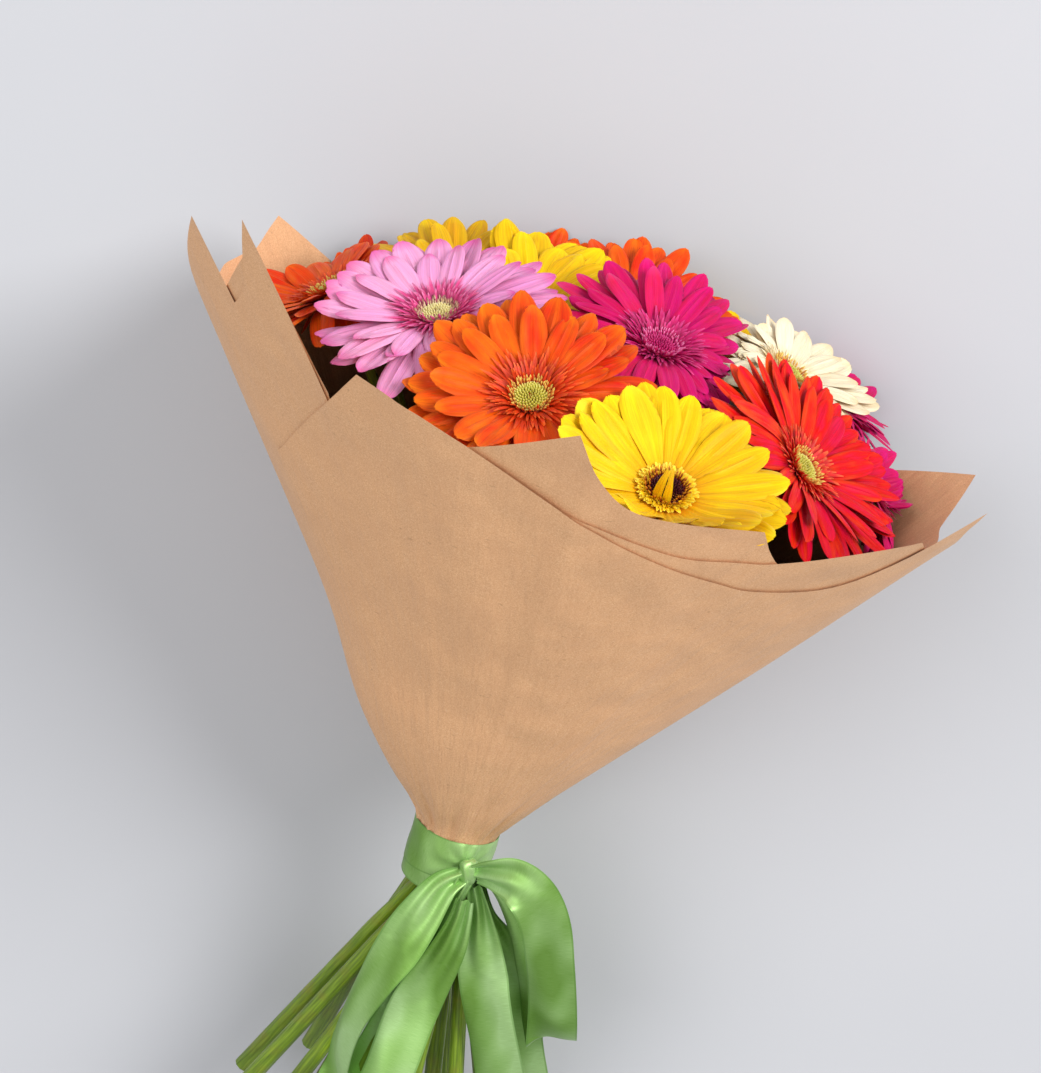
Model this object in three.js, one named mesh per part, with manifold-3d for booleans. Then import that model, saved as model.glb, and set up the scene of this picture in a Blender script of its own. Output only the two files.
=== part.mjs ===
// A bouquet of sixteen gerberas in a kraft paper wrap, tied with a satin ribbon and laid on its back.
// Millimetres. The part's frame has +Z up, the surface at z = 0, +X to the right and +Y toward the blooms.
// The bouquet is built in its own frame: x to its right, y along its axis with 0 at the tie, z to its front,
// which faces up when the bouquet lies down. One group then tilts it and lifts it to its resting height.
import * as THREE from "three";
import { mergeVertices } from "three/addons/utils/BufferGeometryUtils.js";
import Module from "manifold-3d";

const wasm = await Module();
wasm.setup();
const { Manifold, Mesh } = wasm;
const V = (x, y, z) => new THREE.Vector3(x, y, z);
const rad = THREE.MathUtils.degToRad;
const clamp01 = (v) => Math.min(1, Math.max(0, v));

// How the bouquet lies
const AXIS_RISE = 10; // degrees that the axis rises from the tie to the blooms
const TIE_HEIGHT = 80.4; // middle of the tie above the surface

// Stems
const STEM_RADIUS = 2.45; // where they are tied
const STEM_FOOT_RADIUS = 3.3; // at their cut ends
const STEM_END = -160;
const STEM_SPREAD = 0.0377; // growth of the sheaf for each mm from the tie
const FAN_FLATTENING = { front: 0.5, back: 0.07 }; // of the fan of stem ends
const CALYX = { top: -1.1, depth: 13, radius: 9 };

// Blooms
const PETALS = 12; // in each of a bloom's two rows
const PETAL_THICKNESS = 0.8;
const HUB_RADIUS = 9.5;
const HUB_TOP = 3.4;
// base: height of the row's root; at: [share of the petal's length, half its width] from root to tip
const OUTER = { base: -0.8, reach: 1, rise: 6, droop: 12, at: [[0.42, 5.6], [0.78, 7.9], [1, 2.4]] };
const INNER = { base: 1, reach: 0.86, rise: 23, droop: 20, at: [[0.7, 7.2], [1, 2.4]] };
const FRILL = { base: 2.6, reach: 19.5, rise: 38 };
const DISC = { radius: 7.2, sides: 8 };

// Paper
const TIE_RADIUS = 16.4; // inside of the innermost sheet
const PAPER_FOOT = -14;
const FLARE_FROM = 18;
const FLARE = { side: 0.72, front: 0.535, back: 0.61 };
const GATHER = { by: 9, at: 66, over: 42, toward: 285 }; // fullness of the left side above the tie
const SHEET_STEP = 1.25;
const SHEET_THICKNESS = 0.85; // measured outward from the axis

// Ribbon
const BAND = { inner: 20.2, outer: 21, from: -15, to: 16 };
const RIBBON_WIDTH = 25;
const RIBBON_THICKNESS = 0.7;

const COLOURS = {
  orange: 0xff6a0a, vermilion: 0xee4410, rust: 0xd8380e, pink: 0xfba3dc, magenta: 0xd8187c,
  yellow: 0xffdd20, mustard: 0xeab31a, red: 0xdd1414, cream: 0xfff0cc, amber: 0xf7a51c,
  paleDisc: 0xe4d68c, greenDisc: 0xc6c458, darkDisc: 0x3a0410,
  stem: 0x6f9420, kraft: 0xc79d77, ribbon: 0x78af50,
};

// Blooms in order of height in the pile, the uppermost first. at: middle of the bloom; face: how far it
// turns from the axis, and toward which side (0 front, 90 right); size: its radius; tie: where its stem
// passes the tie; petals and disc: colours, with no disc where the middle is the petals' own colour.
const BLOOMS = [
  { name: "yellow_front", at: [44, 255, 98], face: [24, -3], size: 57, tie: [4.9, 9.8],
    petals: "yellow", disc: "darkDisc" },
  { name: "orange_front", at: [-25, 266, 67], face: [32, -20], size: 58, tie: [-3.1, 6.8],
    petals: "orange", disc: "greenDisc" },
  { name: "pink", at: [-77, 271, 17], face: [24, -62], size: 60, tie: [-6.3, 2.2],
    petals: "pink", disc: "paleDisc" },
  { name: "red_right", at: [102, 250, 14], face: [37, 76], size: 60, tie: [10.7, 3.8],
    petals: "red", disc: "greenDisc" },
  { name: "magenta_middle", at: [24, 280, -3], face: [12, 15], size: 60, tie: [3.8, 2.8],
    petals: "magenta" },
  { name: "yellow_middle", at: [-40, 268, -42], face: [14, -20], size: 55, tie: [-1.1, 0.3],
    petals: "yellow", disc: "greenDisc" },
  { name: "orange_middle", at: [7, 270, -64], face: [16, 5], size: 54, tie: [1.2, -5.8],
    petals: "vermilion", disc: "greenDisc" },
  { name: "orange_left", at: [-128, 255, -16], face: [42, -95], size: 55, tie: [-11.3, 0.2],
    petals: "vermilion", disc: "greenDisc" },
  { name: "cream", at: [86, 269, -47], face: [22, 95], size: 55, tie: [5.6, -2.5],
    petals: "cream", disc: "greenDisc" },
  { name: "magenta_right", at: [135, 234, -34], face: [48, 99], size: 52, tie: [11.2, -1.8],
    petals: "magenta" },
  { name: "mustard_left", at: [-79, 264, -50], face: [12, -40], size: 54, tie: [-4.6, -4.1],
    petals: "mustard", disc: "greenDisc" },
  { name: "rust_left", at: [-121, 242, -72], face: [42, -115], size: 53, tie: [-10.1, -5.3],
    petals: "rust", disc: "darkDisc" },
  { name: "magenta_back", at: [112, 250, -82], face: [30, 125], size: 53, tie: [9, -6.9],
    petals: "magenta" },
  { name: "vermilion_back", at: [-36, 263, -99], face: [12, -170], size: 53, tie: [-1, -11.1],
    petals: "vermilion", disc: "greenDisc" },
  { name: "orange_back", at: [-78, 256, -99], face: [26, -150], size: 53, tie: [-6.3, -9.4],
    petals: "amber", disc: "greenDisc" },
  { name: "yellow_back", at: [62, 257, -96], face: [28, 160], size: 53, tie: [4.6, -10.3],
    petals: "yellow", disc: "darkDisc" },
];

// Paper sheets: layer counts outward, and rim lists, from one side edge to the other, the angle round the
// axis (0 front, 90 right, 180 back) and how far along the axis the sheet reaches there.
const SHEETS = [
  { name: "paper_back", layer: 0, rim: [[70, 236], [92, 235], [100, 256], [118, 226], [140, 208], [180, 205],
    [220, 207], [238, 245], [245, 261], [252, 250], [270, 250], [301, 288], [311, 326], [318, 262]] },
  { name: "paper_left", layer: 1, rim: [[220, 206], [238, 216], [270, 246], [285, 254], [300, 320],
    [303, 284], [307, 300], [311, 338], [318, 259], [325, 244], [343, 236]] },
  { name: "paper_liner", layer: 0, rim: [[-42, 236], [-25, 250], [-17, 270], [-11, 278], [0, 299], [5, 274],
    [11, 262], [34, 266], [40, 245], [55, 232]] },
  { name: "paper_right", layer: 1, rim: [[-17, 236], [-3, 255], [11, 247], [25, 242], [40, 246], [61, 265],
    [70, 246], [85, 232]] },
  { name: "paper_front", layer: 2, rim: [[-60, 207], [-42, 259], [-35, 285], [-25, 279], [-17, 272], [0, 254],
    [11, 243], [25, 234], [40, 226], [55, 230], [61, 241], [66, 285], [70, 262], [85, 234], [105, 212]] },
];
// angles at which every sheet is creased
const BENDS = [0, 5, 11, 25, 34, 40, 47, 55, 61, 66, 70, 85, 92, 100, 105, 118, 140, 160, 180, 200, 220, 238,
  245, 252, 270, 285, 300, 303, 307, 311, 318, 325, 335, 343, 349, 357];
const ROWS = [PAPER_FOOT, FLARE_FROM, 48, 95, 178]; // heights of the paper's own bends below its rim

// Solids ------------------------------------------------------------------------------------------------

function solid(points, faces) {
  const vertProperties = new Float32Array(points.flatMap((p) => [p.x, p.y, p.z]));
  return new Manifold(new Mesh({ numProp: 3, vertProperties, triVerts: new Uint32Array(faces.flat()) }));
}

// A closed plate between two like sets of points; faces are listed as seen from the upper side.
function plate(upper, lower, faces) {
  const n = upper.length;
  const open = new Map();
  for (const [a, b, c] of faces)
    for (const [p, q] of [[a, b], [b, c], [c, a]])
      if (!open.delete(`${q},${p}`)) open.set(`${p},${q}`, [p, q]);
  const under = faces.map(([a, b, c]) => [n + a, n + c, n + b]);
  const walls = [...open.values()].flatMap(([p, q]) => [[q, p, n + p], [q, n + p, n + q]]);
  return solid([...upper, ...lower], [...faces, ...under, ...walls]);
}

function solidOf(geometry) {
  const bare = new THREE.BufferGeometry().setAttribute("position", geometry.getAttribute("position"));
  if (geometry.index) bare.setIndex(geometry.index);
  const merged = mergeVertices(bare, 1e-4);
  return new Manifold(new Mesh({
    numProp: 3,
    vertProperties: merged.attributes.position.array,
    triVerts: new Uint32Array(merged.index.array),
  }));
}

const joined = (solids) => solids.reduce((a, b) => a.add(b));

function meshOf(name, shape, colour, roughness) {
  const { vertProperties, triVerts } = shape.getMesh();
  const geometry = new THREE.BufferGeometry()
    .setAttribute("position", new THREE.BufferAttribute(vertProperties, 3))
    .setIndex(new THREE.BufferAttribute(triVerts, 1));
  geometry.computeVertexNormals();
  const material = new THREE.MeshStandardMaterial({
    color: COLOURS[colour], roughness, metalness: 0, flatShading: true,
  });
  const mesh = new THREE.Mesh(geometry, material);
  mesh.name = name;
  return mesh;
}

// Paper -------------------------------------------------------------------------------------------------

// The height of the surface under the bouquet, in the bouquet's frame, and a clearance above it.
const surfaceZ = (y, above = 0) =>
  (above - TIE_HEIGHT - y * Math.sin(rad(AXIS_RISE))) / Math.cos(rad(AXIS_RISE));

function wrapRadius(degrees, y) {
  const grow = Math.max(0, y - FLARE_FROM);
  const [sin, cos] = [Math.sin(rad(degrees)), Math.cos(rad(degrees))];
  const side = TIE_RADIUS + FLARE.side * grow;
  const depth = TIE_RADIUS + (cos >= 0 ? FLARE.front : FLARE.back) * grow;
  const gather = GATHER.by * Math.exp(-(((y - GATHER.at) / GATHER.over) ** 2)) * clamp01(grow / 20);
  const toward = Math.max(0, Math.cos(rad(degrees - GATHER.toward)));
  return 1 / Math.hypot(sin / side, cos / depth) + gather * toward;
}

// The wrap is flat between its creases, so a line across it lies a little inside the round.
function creasedRadius(degrees, y) {
  const next = BENDS.find((b) => b > degrees) ?? 360;
  const last = BENDS[(BENDS.indexOf(next % 360) + BENDS.length - 1) % BENDS.length];
  const [a, b] = [wrapRadius(last, y), wrapRadius(next, y)];
  const reach = a * Math.sin(rad(degrees - last)) + b * Math.sin(rad(next - degrees));
  return (a * b * Math.sin(rad(next - last))) / reach;
}

function wrapPoint(degrees, y, outward, above) {
  const r = wrapRadius(degrees, y) + outward;
  const z = r * Math.cos(rad(degrees));
  return V(r * Math.sin(rad(degrees)), y, Math.max(z, surfaceZ(y, above)));
}

function rimAt(rim, degrees) {
  for (let i = 1; i < rim.length; i++)
    if (degrees <= rim[i][0]) {
      const [[a, u], [b, v]] = [rim[i - 1], rim[i]];
      return u + ((v - u) * (degrees - a)) / (b - a);
    }
  return rim.at(-1)[1];
}

const turns = (degrees) => ((degrees % 360) + 360) % 360;

function sheet({ layer, rim }) {
  const [first, last] = [rim[0][0], rim.at(-1)[0]];
  const columns = BENDS.flatMap((b) => [b - 360, b, b + 360])
    .filter((b) => b >= first && b <= last)
    .sort((a, b) => a - b);
  const [inner, outer, faces] = [[], [], []];
  const inside = layer * SHEET_STEP;
  columns.forEach((degrees, i) => {
    for (const y of [...ROWS, rimAt(rim, degrees)]) {
      outer.push(wrapPoint(degrees, y, inside + SHEET_THICKNESS, 0));
      inner.push(wrapPoint(degrees, y, inside, SHEET_THICKNESS));
    }
    if (!i) return;
    const step = ROWS.length + 1;
    for (let j = 1; j < step; j++) {
      const [a, b, c, d] = [(i - 1) * step + j - 1, (i - 1) * step + j, i * step + j, i * step + j - 1];
      faces.push([a, c, b], [a, d, c]);
    }
  });
  return plate(outer, inner, faces);
}

const highestRim = (degrees) =>
  Math.max(0, ...SHEETS.flatMap(({ rim }) =>
    [degrees - 360, degrees, degrees + 360]
      .filter((d) => d >= rim[0][0] && d <= rim.at(-1)[0])
      .map((d) => rimAt(rim, d))));

// Stems -------------------------------------------------------------------------------------------------

// Below the blooms the stems are straight, lean round the axis like a sheaf and cross at the tie.
function sheafPoint([x, z], y) {
  const depth = x + STEM_SPREAD * y * z;
  const flat = 1 - (depth > 0 ? FAN_FLATTENING.front : FAN_FLATTENING.back) * clamp01(y / STEM_END);
  return V(-z + STEM_SPREAD * y * x, y, depth * flat);
}

// A line through given points; ExtrudeGeometry sets one section at each of them.
class Course extends THREE.Curve {
  constructor(points) {
    super();
    this.points = points;
  }
  getUtoTmapping(u) {
    return u;
  }
  getPoint(t) {
    const place = clamp01(t) * (this.points.length - 1);
    const i = Math.min(Math.floor(place), this.points.length - 2);
    return this.points[i].clone().lerp(this.points[i + 1], place - i);
  }
}

// Middle points of a stem: straight through the tie, then in one bow to the back of its bloom.
function stemPoints({ tie, centre, normal }, shares) {
  const start = sheafPoint(tie, FLARE_FROM + 4);
  const along = start.clone().sub(sheafPoint(tie, FLARE_FROM + 2)).normalize();
  const end = centre.clone().addScaledVector(normal, CALYX.top - CALYX.depth);
  const pull = end.distanceTo(start);
  return shares.map((u) => {
    const [u2, u3] = [u * u, u * u * u];
    return start.clone().multiplyScalar(2 * u3 - 3 * u2 + 1)
      .addScaledVector(along, pull * (u3 - 2 * u2 + u))
      .addScaledVector(end, -2 * u3 + 3 * u2)
      .addScaledVector(normal, pull * (u3 - u2));
  });
}

// A six-sided stem that thickens to its foot and opens into the calyx under its bloom.
function stem(bloom) {
  const outline = new THREE.Shape();
  for (let i = 0; i < 6; i++) outline.lineTo(Math.cos((i * Math.PI) / 3), Math.sin((i * Math.PI) / 3));
  const calyx = [[CALYX.depth - 3, 1.3], [4.5, 3.2], [0, CALYX.radius / STEM_RADIUS]];
  const sections = [
    [sheafPoint(bloom.tie, STEM_END), STEM_FOOT_RADIUS / STEM_RADIUS],
    [sheafPoint(bloom.tie, PAPER_FOOT - 4), 1],
    ...stemPoints(bloom, [0, 0.25, 0.5, 0.75, 1]).map((p) => [p, 1]),
    ...calyx.map(([down, k]) => [bloom.centre.clone().addScaledVector(bloom.normal, CALYX.top - down), k]),
  ];
  const course = new Course(sections.map(([p]) => p));
  const tube = new THREE.ExtrudeGeometry(outline, { steps: sections.length - 1, extrudePath: course });
  const position = tube.getAttribute("position");
  for (let i = 0; i < position.count; i++) {
    const p = V(0, 0, 0).fromBufferAttribute(position, i);
    const [middle, k] = sections.reduce((a, b) => (b[0].distanceTo(p) < a[0].distanceTo(p) ? b : a));
    p.sub(middle).multiplyScalar(k * STEM_RADIUS).add(middle);
    position.setXYZ(i, p.x, p.y, p.z);
  }
  return solidOf(tube);
}

// Blooms ------------------------------------------------------------------------------------------------

const LEAN = 66; // degrees between the line from bloom to bloom and the normal of the face that parts them
const GAP = 0.7;

for (const bloom of BLOOMS) {
  const [lean, side] = bloom.face.map(rad);
  bloom.centre = V(...bloom.at);
  bloom.normal = V(Math.sin(lean) * Math.sin(side), Math.cos(lean), Math.sin(lean) * Math.cos(side));
  bloom.up = V(0, 0, 1).projectOnPlane(bloom.normal).normalize();
  bloom.across = bloom.normal.clone().cross(bloom.up);
  bloom.calyx = bloom.centre.clone().addScaledVector(bloom.normal, CALYX.top - CALYX.depth);
  bloom.stalk = stemPoints(bloom, [...Array(30).keys()].map((i) => 0.42 + i / 50));
}

// A sloping face parts each two neighbours: the upper bloom's petals pass over it, the lower's under it.
const partings = BLOOMS.map(() => []);
BLOOMS.forEach((upper, i) =>
  BLOOMS.forEach((lower, j) => {
    const apart = lower.centre.clone().sub(upper.centre);
    if (j <= i || apart.length() > upper.size + lower.size + 6) return;
    const line = apart.clone().normalize();
    const out = upper.normal.clone().add(lower.normal).projectOnPlane(line).normalize();
    const through = upper.centre.clone().addScaledVector(apart, upper.size / (upper.size + lower.size));
    through.addScaledVector(out, 4);
    const facing = line.clone().multiplyScalar(Math.cos(rad(LEAN)));
    facing.addScaledVector(out, -Math.sin(rad(LEAN)));
    partings[i].push({ through, facing });
    partings[j].push({ through, facing: facing.clone().negate() });
  }));

function isClear(point, index) {
  if (point.z < surfaceZ(point.y, 1.2)) return false;
  const degrees = turns(THREE.MathUtils.radToDeg(Math.atan2(point.x, point.z)));
  if (point.y < highestRim(degrees) + 3) {
    if (Math.hypot(point.x, point.z) > creasedRadius(degrees, point.y) - 1.5) return false;
    if (point.z < surfaceZ(point.y, SHEET_THICKNESS + 1.2)) return false;
  }
  for (const { through, facing } of partings[index])
    if (point.clone().sub(through).dot(facing) > -GAP) return false;
  return BLOOMS.every((other, j) => {
    if (j === index || other.centre.distanceTo(point) > 150) return true;
    if (other.centre.clone().lerp(other.calyx, 0.5).distanceTo(point) < CALYX.radius + 2.5) return false;
    return other.stalk.every((p) => p.distanceTo(point) > STEM_RADIUS + 3.5);
  });
}

// A petal's course: distance out from the bloom's middle, height and pitch, at its root and each station.
function course(bloom, row, bend, length) {
  const stations = [{ out: HUB_RADIUS, up: row.base + PETAL_THICKNESS / 2, pitch: rad(row.rise) }];
  const reach = (bloom.size * row.reach - HUB_RADIUS) * length;
  let share = 0;
  for (const [next, half] of row.at) {
    let { out, up } = stations.at(-1);
    let pitch = 0;
    for (let k = 0; k < 5; k++) {
      const s = share + ((next - share) * (k + 0.5)) / 5;
      pitch = rad(row.rise - row.droop * s + bend * THREE.MathUtils.smoothstep(s, 0, 0.7));
      out += (Math.cos(pitch) * (next - share) * reach) / 5;
      up += (Math.sin(pitch) * (next - share) * reach) / 5;
    }
    share = next;
    stations.push({ out, up, pitch, half: Math.min(half, 0.25 * out) });
  }
  return stations;
}

function heightAt(stations, out) {
  for (let i = 1; i < stations.length; i++)
    if (out <= stations[i].out) {
      const [a, b] = [stations[i - 1], stations[i]];
      return a.up + ((b.up - a.up) * (out - a.out)) / (b.out - a.out || 1);
    }
  return -Infinity;
}

// Upper and lower corners of a petal at each station after its root, right then left.
function corners(bloom, angle, stations) {
  const out = bloom.up.clone().multiplyScalar(Math.cos(angle)).addScaledVector(bloom.across, Math.sin(angle));
  const side = bloom.normal.clone().cross(out);
  return stations.slice(1).map((s) => {
    const middle = bloom.centre.clone().addScaledVector(out, s.out).addScaledVector(bloom.normal, s.up);
    const thick = bloom.normal.clone().multiplyScalar(Math.cos(s.pitch));
    thick.addScaledVector(out, -Math.sin(s.pitch)).multiplyScalar(PETAL_THICKNESS / 2);
    return [[-1, 1], [1, 1], [-1, -1], [1, -1]].map(([hand, level]) =>
      middle.clone().addScaledVector(side, hand * s.half).addScaledVector(thick, level));
  });
}

// The straightest and longest course that keeps clear of all else, and above the petals below it.
function settle(bloom, index, row, angle, below) {
  for (const length of [1, 0.9, 0.8, 0.7, 0.6, 0.5, 0.4, 0.3, 0.2])
    for (const turn of [0, 6, 12, 18, 24, 30, 38, 46, 54, 64, 74])
      for (const bend of turn ? [turn, -turn] : [0]) {
        const stations = course(bloom, row, bend, length);
        const rows = corners(bloom, angle, stations);
        const points = rows.flatMap((row, i) =>
          i ? [...row, ...row.map((p, k) => p.clone().lerp(rows[i - 1][k], 0.5))] : row);
        if (!points.every((p) => isClear(p, index))) continue;
        const over = below.every((other) =>
          [0.3, 0.45, 0.6, 0.75, 0.9, 1].every((share) => {
            const x = HUB_RADIUS + share * (stations.at(-1).out - HUB_RADIUS);
            return heightAt(stations, x) - heightAt(other, x) > 1.3;
          }));
        if (over) return stations;
      }
  return course(bloom, row, 0, 0.3);
}

// A bloom is one body: a hub with a row of outer petals, a row of inner ones above their gaps, and a frill
// of short florets round the middle, each row growing from the hub's own side.
function head(bloom, index) {
  const step = (2 * Math.PI) / PETALS;
  const spin = index * 0.37;
  const points = [];
  const faces = [];
  const wrap = (i) => (i + PETALS) % PETALS;
  const ring = (height, shift) => {
    const from = points.length;
    for (let i = 0; i < PETALS; i++) {
      const angle = spin + (i + shift) * step;
      points.push(bloom.centre.clone().addScaledVector(bloom.up, HUB_RADIUS * Math.cos(angle))
        .addScaledVector(bloom.across, HUB_RADIUS * Math.sin(angle)).addScaledVector(bloom.normal, height));
    }
    return (i) => from + wrap(i);
  };
  // Joins a petal's corner rows to the hub's corners: right then left, upper then lower.
  const grow = (root, rows) => {
    let [ru, lu, rl, ll] = root;
    for (const row of rows) {
      const [nru, nlu, nrl, nll] = row.map((p) => points.push(p) - 1);
      faces.push([ru, nru, nlu], [ru, nlu, lu], [rl, nll, nrl], [rl, ll, nll]);
      faces.push([rl, nrl, nru], [rl, nru, ru], [lu, nlu, nll], [lu, nll, ll]);
      [ru, lu, rl, ll] = [nru, nlu, nrl, nll];
    }
    faces.push([rl, ll, lu], [rl, lu, ru]);
  };
  const t = PETAL_THICKNESS;
  const [a0, a1] = [ring(OUTER.base, -0.5), ring(OUTER.base + t, -0.5)];
  const [b0, b1] = [ring(INNER.base, 0), ring(INNER.base + t, 0)];
  const [c0, c1] = [ring(FRILL.base, -0.5), ring(HUB_TOP, -0.5)];
  const outer = [];
  const inner = [];
  for (let i = 0; i < PETALS; i++) {
    outer.push(settle(bloom, index, OUTER, spin + i * step, []));
    grow([a1(i), a1(i + 1), a0(i), a0(i + 1)], corners(bloom, spin + i * step, outer[i]));
  }
  for (let i = 0; i < PETALS; i++) {
    const angle = spin + (i + 0.5) * step;
    inner.push(settle(bloom, index, INNER, angle, [outer[i], outer[wrap(i + 1)]]));
    grow([b1(i), b1(i + 1), b0(i), b0(i + 1)], corners(bloom, angle, inner[i]));
  }
  for (let i = 0; i < PETALS; i++) {
    const angle = spin + i * step;
    const slopes = [inner[i], inner[wrap(i - 1)]].map(([a, b]) => (b.up - a.up) / (b.out - a.out));
    const steepest = Math.max(...slopes);
    const pitch = Math.max(rad(FRILL.rise), Math.atan(steepest) + rad(8));
    const tipAt = (share) => {
      const long = (FRILL.reach - HUB_RADIUS) * share;
      return bloom.centre.clone()
        .addScaledVector(bloom.up, Math.cos(angle) * (HUB_RADIUS + long * Math.cos(pitch)))
        .addScaledVector(bloom.across, Math.sin(angle) * (HUB_RADIUS + long * Math.cos(pitch)))
        .addScaledVector(bloom.normal, FRILL.base + long * Math.sin(pitch));
    };
    const tip = tipAt([1, 0.7, 0.4].find((share) => isClear(tipAt(share), index)) ?? 0.2);
    const low = points.push(tip) - 1;
    const high = points.push(tip.clone().addScaledVector(bloom.normal, t)) - 1;
    const [ru, lu, rl, ll] = [c1(i), c1(i + 1), c0(i), c0(i + 1)];
    faces.push([ru, high, lu], [rl, ll, low], [rl, low, high]);
    faces.push([rl, high, ru], [lu, high, low], [lu, low, ll]);
  }
  for (let i = 0; i < PETALS; i++) {
    faces.push([a1(i), a1(i + 1), b0(i)], [a1(i + 1), b0(i + 1), b0(i)]);
    faces.push([b1(i), b1(i + 1), c0(i + 1)], [b1(i + 1), c0(i + 2), c0(i + 1)]);
    if (i && i < PETALS - 1) faces.push([a0(0), a0(i + 1), a0(i)], [c1(0), c1(i), c1(i + 1)]);
  }
  const body = solid(points, faces);
  return bloom.disc ? body : body.add(disc(bloom, HUB_TOP - 0.3));
}

// The disc is a low button whose rows of florets are raised and sunk in turn.
function disc(bloom, base = HUB_TOP + 0.3) {
  const { sides, radius } = DISC;
  const at = (r, angle, height) => bloom.centre.clone().addScaledVector(bloom.up, r * Math.cos(angle))
    .addScaledVector(bloom.across, r * Math.sin(angle)).addScaledVector(bloom.normal, base + height);
  const points = [at(0, 0, 0), at(0, 0, 2)];
  const faces = [];
  [[radius, 0, 0], [radius, 1.1, 0.4], [0.56 * radius, 2.8, -0.6]].forEach(([r, height, relief], j) => {
    for (let i = 0; i < sides; i++) {
      const [a, b, next] = [2 + (j - 1) * sides, 2 + j * sides, (i + 1) % sides];
      points.push(at(r, ((i + (j > 1 ? 0.5 : 0)) * 2 * Math.PI) / sides, height + (i % 2 ? relief : 0)));
      if (!j) faces.push([0, 2 + next, 2 + i]);
      else if (j === 1) faces.push([a + i, a + next, b + next], [a + i, b + next, b + i]);
      else faces.push([a + i, a + next, b + i], [a + next, b + next, b + i], [b + i, b + next, 1]);
    }
  });
  return solid(points, faces);
}

// Ribbon ------------------------------------------------------------------------------------------------

// Each strand: middle points of the ribbon, the share of its width that shows there, pleated narrow near the
// knot, and which way its face looks: 1 to the front, -1 to the back, 0 where it turns over. lean tips it
// about its own run.
const KNOT = { at: [12, 4, 22.6], size: [8.5, 9.5, 4.6], turn: 28 };
const LOOPS = [
  { lean: 55, run: [[9, 2, 25, 0.4, 1], [1, -5, 31, 0.64, 1], [-5, -21, 37, 0.88, 1], [-10, -38, 41, 1, 1],
    [-16, -56, 44, 1, 1], [-22, -78, 46, 1, 1], [-23, -98, 46, 1, 1], [-20, -115, 44, 1, 1],
    [-16, -126, 40, 1, 0], [-10, -122, 36, 1, -1], [-4, -100, 34, 0.96, -1], [1, -66, 29.5, 0.8, -1],
    [5, -33, 26.5, 0.56, -1], [9, -10, 26, 0.4, -1], [11, 1, 25, 0.4, -1]] },
  { lean: 0, run: [[15, 5, 25, 0.4, 1], [24, 10, 31, 0.68, 1], [35, 13, 36, 0.92, 1], [46, 8, 39, 1, 1],
    [55, -5, 38, 1, 1], [63, -28, 33, 1, 1], [70, -52, 27, 1, 1], [74, -68, 21, 1, 1],
    [75, -78, 13, 1, 0], [70, -74, 6, 1, -1], [61, -50, 8, 0.96, -1], [50, -26, 12, 0.8, -1],
    [36, -7, 17, 0.6, -1], [24, 2, 19.5, 0.44, -1], [17, 4, 22, 0.4, -1]] },
];
const TAILS = [
  [[14, -9, 28.8, 0.36, 1], [14.5, -20, 31, 0.48, 1], [13, -36, 34, 0.72, 1], [6, -67, 38, 1, 1],
    [3, -100, 50, 1, 1], [-1, -126, 57, 1, 1], [-6, -151, 56, 1, 1]],
  [[16.9, -4.2, 21.2, 0.28, 1], [22.5, -16, 23.5, 0.48, 1], [27, -30, 26, 0.8, 1], [34, -48, 28, 1, 1],
    [40, -62, 30, 1, 1], [53, -90, 30, 1, 1], [62, -112, 25, 1, 1], [69, -132, 16, 1, 1]],
  [[17.4, -1.4, 17.6, 0.24, 1], [25, -20, 13.5, 0.44, 1], [34, -34, 9, 0.76, 1], [44, -50, 3, 1, 1],
    [53, -68, 1, 1, 1], [61, -95, -3, 1, 1], [69, -116, -8, 1, 1], [77, -138, -16, 1, 1]],
];

function strand(run, lean = 0) {
  const middles = run.map(([x, y, z]) => V(x, y, z));
  const along = middles.map((_, i) =>
    middles[Math.min(i + 1, run.length - 1)].clone().sub(middles[Math.max(i - 1, 0)]).normalize());
  const across = run.map((station, i) => V(0, 0, station[4]).cross(along[i]).negate());
  run.forEach((station, i) => {
    if (!station[4]) across[i] = across[i - 1].clone().add(across[i + 1]);
    across[i].projectOnPlane(along[i]).normalize();
    const tip = lean * Math.sin((Math.PI * i) / (run.length - 1)) * (station[4] > 0 ? 1 : 0);
    across[i].applyAxisAngle(along[i], rad(tip));
  });
  const [upper, lower, faces] = [[], [], []];
  run.forEach(([, , , share], i) => {
    const half = across[i].clone().multiplyScalar((share * RIBBON_WIDTH) / 2);
    const thick = across[i].clone().cross(along[i]).multiplyScalar(RIBBON_THICKNESS / 2);
    for (const hand of [-1, 1]) {
      const edge = middles[i].clone().addScaledVector(half, hand);
      upper.push(edge.clone().add(thick));
      lower.push(edge.clone().sub(thick));
    }
    if (i) faces.push([2 * i - 2, 2 * i - 1, 2 * i], [2 * i, 2 * i - 1, 2 * i + 1]);
  });
  return plate(upper, lower, faces);
}

function bow() {
  const knot = new THREE.SphereGeometry(1, 10, 6);
  knot.scale(...KNOT.size);
  knot.rotateY(rad(KNOT.turn));
  knot.translate(...KNOT.at);
  return joined([solidOf(knot), ...LOOPS.map(({ run, lean }) => strand(run, lean))]);
}

function band() {
  const { inner, outer, from, to } = BAND;
  const profile = [[inner, from], [outer, from], [outer, to], [inner, to], [inner, from]];
  return solidOf(new THREE.LatheGeometry(profile.map(([r, y]) => new THREE.Vector2(r, y)), 24));
}

// Assembly ----------------------------------------------------------------------------------------------

const bouquet = new THREE.Group();
bouquet.rotation.x = rad(AXIS_RISE);
bouquet.position.z = TIE_HEIGHT;

for (const data of SHEETS) bouquet.add(meshOf(data.name, sheet(data), "kraft", 0.85));

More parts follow.
